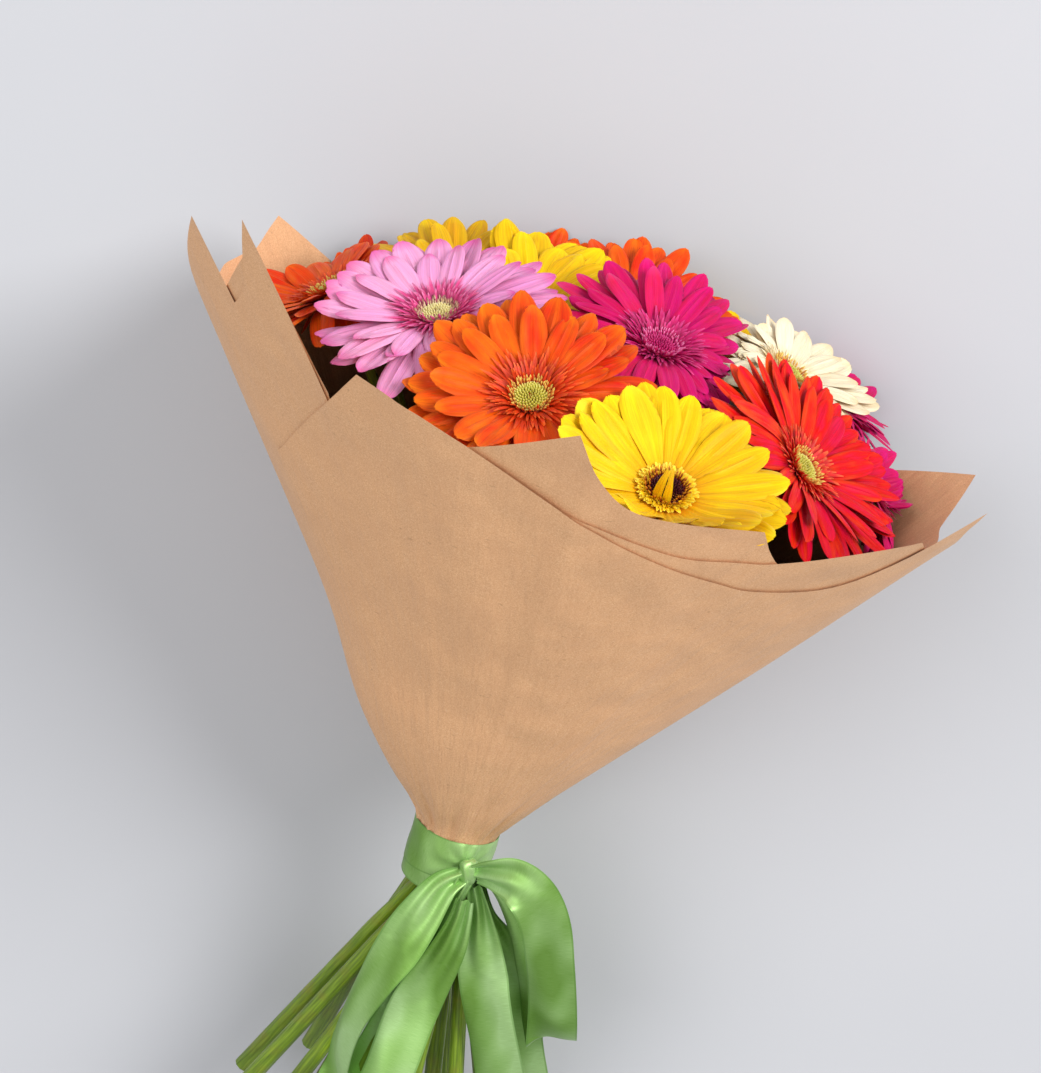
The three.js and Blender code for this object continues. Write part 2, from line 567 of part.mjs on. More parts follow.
BLOOMS.forEach((bloom, i) => {
  bouquet.add(meshOf(`stem_${bloom.name}`, stem(bloom), "stem", 0.55));
  bouquet.add(meshOf(`bloom_${bloom.name}`, head(bloom, i), bloom.petals, 0.6));
  if (bloom.disc) bouquet.add(meshOf(`disc_${bloom.name}`, disc(bloom), bloom.disc, 0.8));
});

bouquet.add(meshOf("ribbon_band", band(), "ribbon", 0.4));
bouquet.add(meshOf("ribbon_bow", bow(), "ribbon", 0.4));
TAILS.forEach((run, i) => bouquet.add(meshOf(`ribbon_tail_${i + 1}`, strand(run), "ribbon", 0.4)));

// The part's origin is the middle of its footprint, on the surface.
const part = new THREE.Group();
part.add(bouquet);
const footprint = new THREE.Box3().setFromObject(part, true).getCenter(V(0, 0, 0));
bouquet.position.x = -footprint.x;
bouquet.position.y = -footprint.y;
export default part;
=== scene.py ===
"""Looks of a gerbera bouquet in kraft paper, tied with a satin ribbon and laid on its back.

Shapes are worked out in millimetres in the bouquet's own frame: x to its right, y along its axis
with 0 at the tie, z to its front. place() then tilts them, lifts them to the tie and gives metres
in the frame of the part. Degrees round the axis run from the front towards the right.
"""
import math

import bpy
import numpy as np
from mathutils import Matrix, Vector


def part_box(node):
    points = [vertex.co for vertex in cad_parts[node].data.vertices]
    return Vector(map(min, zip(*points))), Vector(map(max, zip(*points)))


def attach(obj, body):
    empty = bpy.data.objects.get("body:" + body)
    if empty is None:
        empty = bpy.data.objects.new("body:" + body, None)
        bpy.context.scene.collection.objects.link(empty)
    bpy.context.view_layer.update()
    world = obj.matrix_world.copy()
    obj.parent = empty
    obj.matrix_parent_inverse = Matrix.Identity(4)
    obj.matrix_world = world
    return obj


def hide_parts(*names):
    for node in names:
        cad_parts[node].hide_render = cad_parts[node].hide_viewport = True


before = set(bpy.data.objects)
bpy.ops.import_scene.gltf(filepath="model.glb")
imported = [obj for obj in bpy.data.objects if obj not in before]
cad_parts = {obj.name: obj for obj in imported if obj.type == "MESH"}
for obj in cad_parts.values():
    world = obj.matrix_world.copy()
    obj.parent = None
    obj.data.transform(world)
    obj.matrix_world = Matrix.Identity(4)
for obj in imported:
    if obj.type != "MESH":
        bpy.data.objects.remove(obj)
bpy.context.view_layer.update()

MM = 0.001
FULL_TURN = 2 * math.pi
AXIS_RISE = math.radians(10)
AXIS = np.array([0, math.cos(AXIS_RISE), math.sin(AXIS_RISE)])
FRONT = np.array([0, -math.sin(AXIS_RISE), math.cos(AXIS_RISE)])
BAND = {"inner": 20.2, "from": -15, "to": 16}  # the ribbon's inner radius, and y at its edges
band_low, band_high = (np.array(corner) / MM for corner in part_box("ribbon_band"))
TIE = (band_low + band_high) / 2 - AXIS * (BAND["from"] + BAND["to"]) / 2
TIE_HEIGHT = TIE[2]


def place(points):
    """Metres in the part's frame for millimetres in the bouquet's."""
    points = np.asarray(points, float)
    x, y, z = points[..., :1], points[..., 1:2], points[..., 2:3]
    return (TIE + x * [1, 0, 0] + y * AXIS + z * FRONT) * MM


def smooth(x, low=0.0, high=1.0):
    """From 0 at low to 1 at high, level at both ends."""
    t = np.clip((np.asarray(x, float) - low) / (high - low), 0, 1)
    return t * t * (3 - 2 * t)


def unit(v):
    return v / np.linalg.norm(v, axis=-1, keepdims=True)


def spread(amounts, way):
    """The way, times each of the amounts."""
    return np.asarray(amounts)[..., None] * way


def turned(angle, way, towards):
    return spread(np.cos(angle), way) + spread(np.sin(angle), towards)


def turns(sides):
    return np.linspace(0, FULL_TURN, sides, endpoint=False)


def joined(*coordinates):
    """Points or UVs from their coordinates, each spread over the whole grid."""
    return np.stack(np.broadcast_arrays(*coordinates), -1)


def running(steps):
    """How far the steps along the last axis have come at each place, from 0."""
    start = np.zeros((*steps.shape[:-1], 1))
    return np.concatenate([start, np.cumsum(steps, -1)], -1)


def travelled(middles):
    return running(np.linalg.norm(np.diff(middles, axis=0), axis=1))


def add_object(name, data):
    thing = bpy.data.objects.new(name, data)
    bpy.context.collection.objects.link(thing)
    return thing


# ---- Camera and lights ----

# degrees above the surface and of roll; mm from the tie to the camera; the lens in mm
CAMERA = {
    "above": 76, "roll": 17, "right": 34.55, "up": 153.15, "back": 2000,
    "lens": 136.9, "sensor_width": 36, "clip_end": 20,
}
LIT_MIDDLE = (0, 130, 0)
LIGHTS = {  # metres right, up and back from the middle; disc's diameter, watts, colour
    "key": ((2.2, 0.7, 2.6), 1.8, 106, (1, 1, 1)),
    "fill": ((-1.2, 0.3, 2.4), 2.0, 28, (1, 0.995, 0.99)),
}
WORLD = {"Color": (0.96, 0.975, 1, 1), "Strength": 0.6}


def set_camera():
    """Looks down on the bunch, turned so that it leans as in the photo."""
    above, roll = math.radians(CAMERA["above"]), math.radians(CAMERA["roll"])
    back = np.array([0, math.cos(above), math.sin(above)])
    upright = np.array([0, math.sin(above), -math.cos(above)])
    side = np.array([1, 0, 0])
    up = upright * math.cos(roll) - side * math.sin(roll)
    right = side * math.cos(roll) + upright * math.sin(roll)
    data = bpy.data.cameras.new("camera")
    for name in ("lens", "sensor_width", "clip_end"):
        setattr(data, name, CAMERA[name])
    camera = add_object("camera", data)
    turn = np.eye(4)
    turn[:3, :3] = np.stack([right, up, back], 1)
    camera.matrix_world = Matrix(turn.tolist())
    spot = TIE + right * CAMERA["right"] + up * CAMERA["up"] + back * CAMERA["back"]
    camera.location = spot * MM
    bpy.context.scene.camera = camera
    return right, up, back


def add_lights(right, up, back):
    middle = place(LIT_MIDDLE)
    for name, ((aside, above, away), size, power, colour) in LIGHTS.items():
        data = bpy.data.lights.new(name, "AREA")
        data.shape, data.size, data.energy, data.color = "DISK", size, power, colour
        light = add_object(name, data)
        spot = middle + right * aside + up * above + back * away
        light.location = spot
        light.rotation_mode = "QUATERNION"
        light.rotation_quaternion = (Vector(middle) - Vector(spot)).to_track_quat("-Z", "Y")


def set_world():
    world = bpy.data.worlds.new("studio")
    world.use_nodes = True
    for name, value in WORLD.items():
        world.node_tree.nodes["Background"].inputs[name].default_value = value
    bpy.context.scene.world = world
    bpy.context.scene.view_settings.view_transform = "Standard"


# ---- Materials ----


def linear(code):
    """The linear colour, with alpha, of an sRGB code such as 'ff8800'."""
    parts = [int(code[i:i + 2], 16) / 255 for i in (0, 2, 4)]
    parts = [c / 12.92 if c <= 0.04045 else ((c + 0.055) / 1.055) ** 2.4 for c in parts]
    return (*parts, 1.0)


class Graph:
    """A material's nodes, with a short call for each kind in use here."""

    def __init__(self, name):
        self.material = bpy.data.materials.new(name)
        self.material.use_nodes = True
        self.tree = self.material.node_tree
        self.shader = self.tree.nodes["Principled BSDF"]

    def put(self, socket, value):
        """Links the socket to another one, or sets it to a value or a colour's code."""
        if isinstance(value, bpy.types.NodeSocket):
            self.tree.links.new(value, socket)
        else:
            socket.default_value = linear(value) if isinstance(value, str) else value

    def node(self, kind, inputs, **settings):
        """A new node; inputs gives values by the socket's name or number."""
        node = self.tree.nodes.new("ShaderNode" + kind)
        for key, value in settings.items():
            setattr(node, key, value)
        for key, value in inputs.items():
            self.put(node.inputs[key], value)
        return node

    def finish(self, **values):
        for name, value in values.items():
            self.put(self.shader.inputs[name.replace("_", " ")], value)
        return self.material

    def math(self, operation, a, b=0.0):
        return self.node("Math", {0: a, 1: b}, operation=operation).outputs[0]

    def times(self, a, b):
        return self.math("MULTIPLY", a, b)

    def plus(self, a, b):
        return self.math("ADD", a, b)

    def uv(self, layer):
        """The two coordinates of a UV map."""
        spot = self.node("UVMap", {}, uv_map=layer).outputs[0]
        return self.node("SeparateXYZ", {0: spot}).outputs[:2]

    def place(self, scale=(1, 1, 1)):
        """The point in metres on the object, scaled."""
        spot = self.node("TexCoord", {}).outputs["Object"]
        return self.node("Mapping", {"Vector": spot, "Scale": scale}).outputs[0]

    def noise(self, vector, scale, detail=2.0, roughness=0.5):
        facts = {"Vector": vector, "Scale": scale, "Detail": detail, "Roughness": roughness}
        return self.node("TexNoise", facts).outputs["Fac"]

    def flat_noise(self, across, along, shift=0.0, scale=1.0, detail=2.0):
        """Noise over a surface rolled out flat."""
        spot = self.node("CombineXYZ", {0: across, 1: along, 2: shift}).outputs[0]
        return self.noise(spot, scale, detail)

    def ramp(self, value, *stops):
        node = self.node("ValToRGB", {0: value})
        while len(node.color_ramp.elements) < len(stops):
            node.color_ramp.elements.new(0.5)
        for element, (at, code) in zip(node.color_ramp.elements, stops):
            element.position = at
            element.color = linear(code)
        return node.outputs[0]

    def levels(self, value, low, high, to_low, to_high):
        """The value's range from low to high, stretched to another and cut off there."""
        facts = {0: value, 1: low, 2: high, 3: to_low, 4: to_high}
        return self.node("MapRange", facts).outputs[0]

    def mix(self, share, a, b):
        return self.node("Mix", {0: share, 6: a, 7: b}, data_type="RGBA").outputs[2]

    def tone(self, colour, hue=0.5, saturation=1.0, value=1.0):
        facts = {"Hue": hue, "Saturation": saturation, "Value": value, "Color": colour}
        return self.node("HueSaturation", facts).outputs[0]

    def bump(self, height, strength, distance):
        facts = {"Height": height, "Strength": strength, "Distance": distance}
        return self.node("Bump", facts).outputs[0]


def petal_material(name, root, body, tip, under):
    """Colour from root to tip, long veins partly painted shade, a paler underside, a velvety
    bloom, and painted light and shade by where a petal points.
    """
    g = Graph(name)
    across, along = g.uv("UVMap")
    draw, below = g.uv("Draw")
    colour = g.ramp(along, (0.0, root), (0.4, body), (0.85, body), (1.0, tip))
    colour = g.mix(below, colour, under)
    shift = g.times(draw, 37.0)
    veins_and_groove_shade = g.flat_noise(g.plus(g.times(across, 26.0), 0.5), g.times(along, 1.6), shift)
    soft = g.flat_noise(g.times(across, 2.2), g.times(along, 2.4), shift)
    patchy = g.levels(soft, 0.3, 0.7, 0.492, 0.508)
    # long streaks: real veins, made darker partly as painted shade in the grooves
    colour = g.tone(colour, patchy, 1.0, g.levels(veins_and_groove_shade, 0.25, 0.75, 0.79, 1.12))
    # painted light and shade: a low draw, given to petals that point right, makes them darker and
    # more saturated, with a random tone on top
    hue, saturation, value = (
        g.levels(draw, 0, 1, *ends) for ends in ((0.494, 0.506), (1.1, 1.0), (0.84, 1.05)))
    colour = g.tone(colour, hue, saturation, value)
    grain = g.noise(g.place(), 2600.0, 1.0)
    height = g.plus(g.times(veins_and_groove_shade, 0.8), g.times(grain, 0.25))
    return g.finish(
        Base_Color=colour, Roughness=0.52, Specular_IOR_Level=0.18,
        Sheen_Weight=0.05, Sheen_Roughness=0.45,
        Subsurface_Weight=0.18, Subsurface_Radius=(1.0, 0.5, 0.3), Subsurface_Scale=0.0025,
        Normal=g.bump(height, 0.5, 0.00035),
    )


def floret_material(name, root, body, tip, tip_from=0.7):
    """Florets and filaments, coloured from their foot to their tip."""
    g = Graph(name)
    _, along = g.uv("UVMap")
    draw, _ = g.uv("Draw")
    colour = g.ramp(along, (0.0, root), (0.35, body), (tip_from, body), (0.98, tip))
    colour = g.tone(colour, value=g.levels(draw, 0, 1, 0.75, 1.12))
    return g.finish(
        Base_Color=colour, Roughness=0.5, Specular_IOR_Level=0.35,
        Subsurface_Weight=0.15, Subsurface_Radius=(1.0, 0.6, 0.3), Subsurface_Scale=0.0012,
        Normal=g.bump(g.noise(g.place(), 3000.0, 1.0), 0.35, 0.0002),
    )


def stem_material():
    """A fresh stem: streaked along, with browner stretches and a pale pith at the cut."""
    g = Graph("stem")
    around, along = g.uv("UVMap")
    draw, cut = g.uv("Draw")
    shift = g.times(draw, 19.0)
    streak = g.flat_noise(g.times(around, 22.0), g.times(along, 3.0), shift, detail=3.0)
    patch = g.flat_noise(g.times(around, 2.0), g.times(along, 5.0), shift)
    colour = g.ramp(streak, (0.25, "4a6206"), (0.5, "6a8610"), (0.75, "8ca624"))
    colour = g.mix(g.levels(patch, 0.5, 0.8, 0.0, 0.45), colour, "8a7620")
    pith = g.ramp(around, (0.0, "c9d08a"), (1.0, "87a040"))
    colour = g.mix(cut, colour, pith)
    hair = g.noise(g.place(), 2400.0)
    height = g.plus(streak, g.times(hair, 0.4))
    return g.finish(
        Base_Color=colour, Roughness=0.42, Specular_IOR_Level=0.45, Sheen_Weight=0.12,
        Subsurface_Weight=0.08, Subsurface_Radius=(0.6, 1.0, 0.2), Subsurface_Scale=0.0015,
        Normal=g.bump(height, 0.45, 0.0004),
    )


def paper_material():
    """Brown kraft: mottled pulp with short fibres, and painted shade on the inner face deep
    inside the cone.
    """
    g = Graph("kraft_paper")
    across, along = g.uv("UVMap")
    _, inside = g.uv("Draw")
    pulp = g.noise(g.place(), 55.0, 4.0, 0.62)
    grain = g.noise(g.place(), 1500.0, 3.0, 0.7)
    pale_fibre = g.noise(g.place((1, 0.25, 1)), 1100.0, 2.0, 0.6)
    dark_fibre = g.noise(g.place((0.35, 1, 1)), 520.0, 1.0)
    colour = g.ramp(grain, (0.3, "c89568"), (0.5, "dba87a"), (0.72, "edc093"))
    colour = g.mix(g.levels(pulp, 0.3, 0.7, 0.0, 0.35), colour, "d09c72")
    colour = g.mix(g.levels(pale_fibre, 0.68, 0.78, 0.0, 0.35), colour, "e6caa8")
    colour = g.mix(g.levels(dark_fibre, 0.72, 0.8, 0.0, 0.3), colour, "8c6541")
    # painted shade: the inner face of the sheets turns near black towards the foot of the cone,
    # where little light reaches
    depth = g.levels(along, 1.6, 2.45, 0.97, 0.0)
    colour = g.mix(g.times(inside, depth), colour, "2a1a10")
    soft = g.noise(g.place(), 15.0)
    wrinkle = g.flat_noise(g.times(across, 5.0), along, scale=4.0, detail=4.0)
    height = g.plus(g.times(soft, 8.0), g.times(wrinkle, 1.6))
    height = g.plus(height, g.times(grain, 0.1))
    return g.finish(
        Base_Color=colour, Roughness=0.62, Specular_IOR_Level=0.3, Sheen_Weight=0.05,
        Normal=g.bump(height, 0.7, 0.0011),
    )


def ribbon_material():
    """Green satin: fine ribs, woven edges, painted highlights and shade in soft patches, and a
    soft stretched gloss.
    """
    g = Graph("ribbon_satin")
    across, along = g.uv("UVMap")
    edge = g.math("ABSOLUTE", g.math("SUBTRACT", across, 0.5))
    selvedge = g.levels(edge, 0.455, 0.475, 0.0, 1.0)
    thread = g.flat_noise(g.times(across, 5.0), g.times(along, 900.0))
    crease = g.flat_noise(g.times(across, 2.5), g.times(along, 9.0), detail=3.0)
    colour = g.ramp(thread, (0.3, "84b650"), (0.7, "9fcb72"))
    # painted highlights and shade: long soft patches that are paler and brighter, or darker and
    # more saturated, in place of the satin's reflections
    painted_sheen_patches = g.noise(g.place((1, 0.45, 1)), 44.0, 1.0)
    saturation, value = (
        g.levels(painted_sheen_patches, 0.36, 0.62, *ends) for ends in ((1.12, 0.8), (0.62, 1.16)))
    colour = g.tone(colour, 0.5, saturation, value)
    colour = g.mix(g.times(selvedge, 0.5), colour, "5c8c34")
    rib = g.math("SINE", g.times(across, 260.0))
    height = g.plus(g.times(rib, 0.06), g.times(crease, 0.8))
    height = g.math("SUBTRACT", height, g.times(selvedge, 0.25))
    tangent = g.node("Tangent", {}, direction_type="UV_MAP", uv_map="UVMap").outputs[0]
    return g.finish(
        Base_Color=colour, Metallic=0.55, Roughness=0.44, Specular_IOR_Level=0.8,
        Anisotropic=0.6, Tangent=tangent, Sheen_Weight=0.15, Sheen_Roughness=0.3,
        Normal=g.bump(height, 0.25, 0.0006),
    )


def floor_material():
    g = Graph("floor")
    colour = g.ramp(g.noise(g.place(), 3.0, 3.0), (0.3, "bcbdc1"), (0.7, "c0c1c5"))
    return g.finish(Base_Color=colour, Roughness=0.85, Specular_IOR_Level=0.2)


FLOWERS = {  # petals: root, body, tip, underside; frill: foot, body, tip
    "orange": "c42604 e84c04 f26a0c cc4006 a02004 d83808 f4641c",
    "vermilion": "c02c04 ec4a0a f86414 d0440c 9c2008 dc3c14 f86a28",
    "rust": "a81c06 d8340c e44812 b83410 881808 c03010 e05824",
    "pink": "de549c faa6d2 f270b0 dc74ac a81c5c dc4888 f68cbc",
    "magenta": "940a3e d2145e de3078 a41850 8c083c c01060 e04088",
    "yellow": "ee9c04 f8c008 fed41c e0ac10 dc9008 fccc14 ffe848",
    # mustard: the yellow made darker and browner, painted shade for a yellow bloom that is seen
    # in shadow
    "mustard": "d08c0c e8ac14 f2c02a c89420 a86c08 dca018 f4c838",
    "red": "a4060c e21212 ea2420 b41218 8c0408 d81c18 f46834",
    "cream": "f0cc8c fdecca fbe2b4 eccc98 d8a868 f4dcae fff2d0",
    "amber": "e4700c f49814 f8ac2c dc8420 b85808 e88c14 fcb83c",
}
DISCS = {  # buds: foot, body, tip; open florets: foot, body, tip
    "green": "988c28 c8c04a ece08c a83818 dc843c f0dc70",
    "pale": "b49c54 e2d48c f6eebc 6c1438 e8c8a4 8c2450",
    "dark": "200208 3a0612 5c1020 48060c 8c2410 f0a828",
    "magenta": "7c0840 b4105c dc4890 98104c d02878 f48cbc",
}


def flower_materials():
    made = {}
    for name, codes in FLOWERS.items():
        codes = codes.split()
        made[name] = petal_material(f"petal_{name}", *codes[:4])
        made[f"frill_{name}"] = floret_material(f"frill_{name}", *codes[4:])
    for name, codes in DISCS.items():
        codes = codes.split()
        made[f"disc_{name}"] = floret_material(f"disc_{name}", *codes[:3])
        made[f"style_{name}"] = floret_material(f"style_{name}", *codes[3:], tip_from=0.6)
    return made


# ---- Meshes ----

LEAST_HEIGHT = 0.1  # mm above the surface, where what would go lower ends
SHARP_FROM = 65  # degrees between two faces


class Body:
    """Collects faces with two UV maps: places on the surface, and a draw with the side."""

    def __init__(self):
        self.points, self.faces, self.uv, self.draw, self.slots = [], [], [], [], []
        self.count = 0

    def add(self, points, faces, uv, draw=0.5, under=0.0, slot=0):
        """faces: quads; under: 1 on a leaf's lower side, for all faces or for each."""
        self.points.append(np.asarray(points, float).reshape(-1, 3))
        self.faces.append(faces + self.count)
        self.uv.append(np.asarray(uv, float).reshape(-1, 2)[faces])
        marks = joined(np.full(len(faces), draw), under)
        self.draw.append(np.repeat(marks[:, None], 4, 1))
        self.slots.append(np.full(len(faces), slot))
        self.count += len(self.points[-1])

    def make(self, name, materials, node, slot):
        """The piece that stands for a node of the CAD."""
        points = place(np.concatenate(self.points))
        points[:, 2] = np.maximum(points[:, 2], LEAST_HEIGHT * MM)
        faces = np.concatenate(self.faces)
        mesh = bpy.data.meshes.new(name)
        mesh.vertices.add(len(points))
        mesh.vertices.foreach_set("co", points.ravel())
        mesh.loops.add(faces.size)
        mesh.loops.foreach_set("vertex_index", faces.ravel().astype(np.int32))
        mesh.polygons.add(len(faces))
        starts = np.arange(0, faces.size, 4, dtype=np.int32)
        mesh.polygons.foreach_set("loop_start", starts)
        mesh.update(calc_edges=True)
        for layer, values in (("UVMap", self.uv), ("Draw", self.draw)):
            uv_layer = mesh.uv_layers.new(name=layer)
            uv_layer.data.foreach_set("uv", np.concatenate(values).ravel())
        for material in materials:
            mesh.materials.append(material)
        slots = np.concatenate(self.slots).astype(np.int32)
        mesh.polygons.foreach_set("material_index", slots)
        mesh.polygons.foreach_set("use_smooth", np.ones(len(faces), bool))
        mesh.validate()
        mesh.set_sharp_from_angle(angle=math.radians(SHARP_FROM))
        piece = add_object(name, mesh)
        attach(piece, "root")
        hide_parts(node)
        return piece


def quads(index):
    """The quads between the rows and columns of a grid of point numbers."""
    corners = [index[:-1, :-1], index[:-1, 1:], index[1:, 1:], index[1:, :-1]]
    return np.stack(corners, -1).reshape(-1, 4)


def grid(rows, columns):
    """Quads between the rows of a grid of points whose last column meets the first."""
    index = np.arange(rows * columns).reshape(rows, columns)
    return quads(np.concatenate([index, index[:, :1]], 1))


def leaf_faces(across, along):
    """Quads of a closed leaf, and which are below: two grids that share their rim."""
    upper = np.arange(across * along).reshape(across, along)
    lower = upper.copy()
    inner = np.arange((across - 2) * (along - 2)).reshape(across - 2, along - 2)
    lower[1:-1, 1:-1] = across * along + inner
    above, below = (quads(index)[:, [0, 3, 2, 1]] for index in (upper, lower))
    return np.concatenate([above, below[:, ::-1]]), np.repeat([0.0, 1.0], len(above))


def add_leaf(body, middle, lift, thick, uv, draw, slot=0):
    """A thin closed leaf about a grid of middle points; lift is the way its top faces."""
    faces, under = leaf_faces(*middle.shape[:2])
    half = spread(thick, lift) / 2
    points = [(middle + half).reshape(-1, 3), (middle - half)[1:-1, 1:-1].reshape(-1, 3)]
    maps = [uv.reshape(-1, 2), uv[1:-1, 1:-1].reshape(-1, 2)]
    body.add(np.concatenate(points), faces, np.concatenate(maps), draw, under, slot)


# ---- The wrap's form ----

TIE_RADIUS = 16.4  # inside of the innermost sheet
PAPER_FOOT = -14
FLARE_FROM = 18
FLARE = {"side": 0.72, "front": 0.535, "back": 0.61}  # mm outward for each mm along the axis
GATHER = {"by": 9, "at": 66, "over": 42, "toward": 285, "ease": 20}
SHEET_STEP = 1.25
SHEET_MIDDLE = 0.85 * 0.75  # from a sheet's inside in the CAD
SHEETS = {  # layer; degrees round the axis and y of the rim's corners
    "back": (0, [(70, 236), (92, 235), (100, 256), (118, 226), (140, 208), (180, 205), (220, 207),
        (238, 245), (245, 261), (252, 250), (270, 250), (301, 288), (311, 326), (318, 262)]),
    "left": (1, [(220, 206), (238, 216), (270, 246), (285, 254), (300, 320), (303, 284),
        (307, 300), (311, 338), (318, 259), (325, 244), (343, 236)]),
    "liner": (0, [(-42, 236), (-25, 250), (-17, 270), (-11, 278), (0, 299), (5, 274), (11, 262),
        (34, 266), (40, 245), (55, 232)]),
    "right": (1, [(-17, 236), (-3, 255), (11, 247), (25, 242), (40, 246), (61, 265), (70, 246),
        (85, 232)]),
    "front": (2, [(-60, 207), (-42, 259), (-35, 285), (-25, 279), (-17, 272), (0, 254), (11, 243),
        (25, 234), (40, 226), (55, 230), (61, 241), (66, 285), (70, 262), (85, 234), (105, 212)]),
}
PAPER_ROWS = 44
PAPER_COLUMN = 1.6  # degrees
PAPER_THICKNESS = 0.4
ROUNDING = {"left": 0.3, "back": 1.0, "others": 4.0}  # degrees
# height; waves round the cone, their start, and their turn with each mm along the axis
FACETS = ((1.3, 5, 0.7, 0), (0.8, 9, 2, 0.012), (0.5, 17, 0, 0.03))
PLEATS = ((2.0, 7, 0.4, 0.01), (1.2, 12, 1.1, -0.02))
RIDGES = (  # degrees round the axis, height, y of the foot
    (4, 1.3, 70), (-27, 1.0, 110), (38, 0.9, 60), (262, 1.2, 80), (188, 1.2, 60))
RIDGE_WIDTH = 2.6


def surface_z(y, above=0.0):
    """The bouquet's z of the surface that it lies on, and a clearance above it."""
    return (above - TIE_HEIGHT - y * math.sin(AXIS_RISE)) / math.cos(AXIS_RISE)


def wrap_radius(degrees, y):
    grow = np.maximum(0, y - FLARE_FROM)
    sin, cos = np.sin(np.radians(degrees)), np.cos(np.radians(degrees))
    side = TIE_RADIUS + FLARE["side"] * grow
    depth = TIE_RADIUS + np.where(cos >= 0, FLARE["front"], FLARE["back"]) * grow
    gather = GATHER["by"] * np.exp(-(((y - GATHER["at"]) / GATHER["over"]) ** 2))
    gather = gather * np.clip(grow / GATHER["ease"], 0, 1)
    facing = np.maximum(0, np.cos(np.radians(degrees - GATHER["toward"])))
    return 1 / np.hypot(sin / side, cos / depth) + gather * facing


def creases(degrees, y):
    """Small outward moves: facets and ridges up the cone, and pleats next to the tie."""
    a = np.radians(degrees)
    facets = sum(tall * np.sin(n * a + start + turn * y) for tall, n, start, turn in FACETS)
    pleats = sum(
        tall * np.abs(np.sin(n * a + start + turn * y)) for tall, n, start, turn in PLEATS)
    near_tie = smooth(y, 15, 22) * (1 - smooth(y, 22, 62))
    ridges = 0
    for at, tall, foot in RIDGES:
        away = (degrees - at + 180) % 360 - 180
        ridges = ridges + tall * np.exp(-((away / RIDGE_WIDTH) ** 2)) * smooth(y, foot, foot + 60)
    return facets * smooth(y, 20, 190) * 0.8 + (pleats - 1.6) * near_tie + ridges


def snug(layer, degrees, y):
    """The outward move that brings a sheet, below those over it, against the band."""
    over = sum(
        (degrees + turn >= rim[0][0]) & (degrees + turn <= rim[-1][0])
        for other, rim in SHEETS.values() if other > layer for turn in (-360, 0, 360))
    room = BAND["inner"] - 0.1 - 0.55 * over
    room = room - (TIE_RADIUS + layer * SHEET_STEP + SHEET_MIDDLE)
    return room * smooth(y, 2, 12) * (1 - smooth(y, 16, 34))


def rounded(name):
    """A sheet's rim in half degrees, with its hollows rounded and its corners left sharp."""
    angles, heights = zip(*SHEETS[name][1])
    fine = np.linspace(angles[0], angles[-1], int(2 * (angles[-1] - angles[0])) + 1)
    window = np.linspace(-3, 3, 41)
    weight = np.exp(-window ** 2)
    about = window * ROUNDING.get(name, ROUNDING["others"])
    soft = np.interp(fine[:, None] + about, angles, heights) @ weight / weight.sum()
    return fine, np.maximum(np.interp(fine, angles, heights), soft)


RIMS = {name: rounded(name) for name in SHEETS}


def highest_rim(degrees):
    best = np.zeros(np.shape(degrees))
    for angles, heights in RIMS.values():
        for turn in (-360, 0, 360):
            rim = np.interp(degrees + turn, angles, heights, left=0, right=0)
            best = np.maximum(best, rim)
    return best


def add_sheet(name, layer, rim, material):
    corners = np.array([angle for angle, _ in rim], float)
    turn = []
    for start, end in zip(corners, corners[1:]):
        count = max(2, math.ceil((end - start) / PAPER_COLUMN) + 1)
        turn.append(np.linspace(start, end, count)[:-1])
    turn = np.concatenate([*turn, corners[-1:]])[:, None]
    share = np.linspace(0, 1, PAPER_ROWS)[None] ** 0.9
    y = PAPER_FOOT + (np.interp(turn, *RIMS[name]) - PAPER_FOOT) * share
    r = wrap_radius(turn, y) + (
        layer * SHEET_STEP + SHEET_MIDDLE + creases(turn, y) + snug(layer, turn, y))
    sin, cos = np.sin(np.radians(turn)), np.cos(np.radians(turn))
    middle = joined(r * sin, y, np.maximum(r * cos, surface_z(y, 0.25)))
    body = Body()
    uv = joined(np.radians(turn), y / 100)
    add_leaf(body, middle, joined(sin, 0, cos), PAPER_THICKNESS, uv, 0.5)
    body.make(f"wrap_{name}", [material], f"paper_{name}", "kraft_paper")


# ---- Blooms and stems: where they are ----

HUB_RADIUS = 9.5
HUB_TOP = 3.4
CALYX = {"top": -1.1, "depth": 13, "radius": 9}
STEM_RADIUS = 2.45
STEM_END = -160
STEM_SPREAD = 0.0377
FAN_FLATTENING = {"front": 0.5, "back": 0.07}

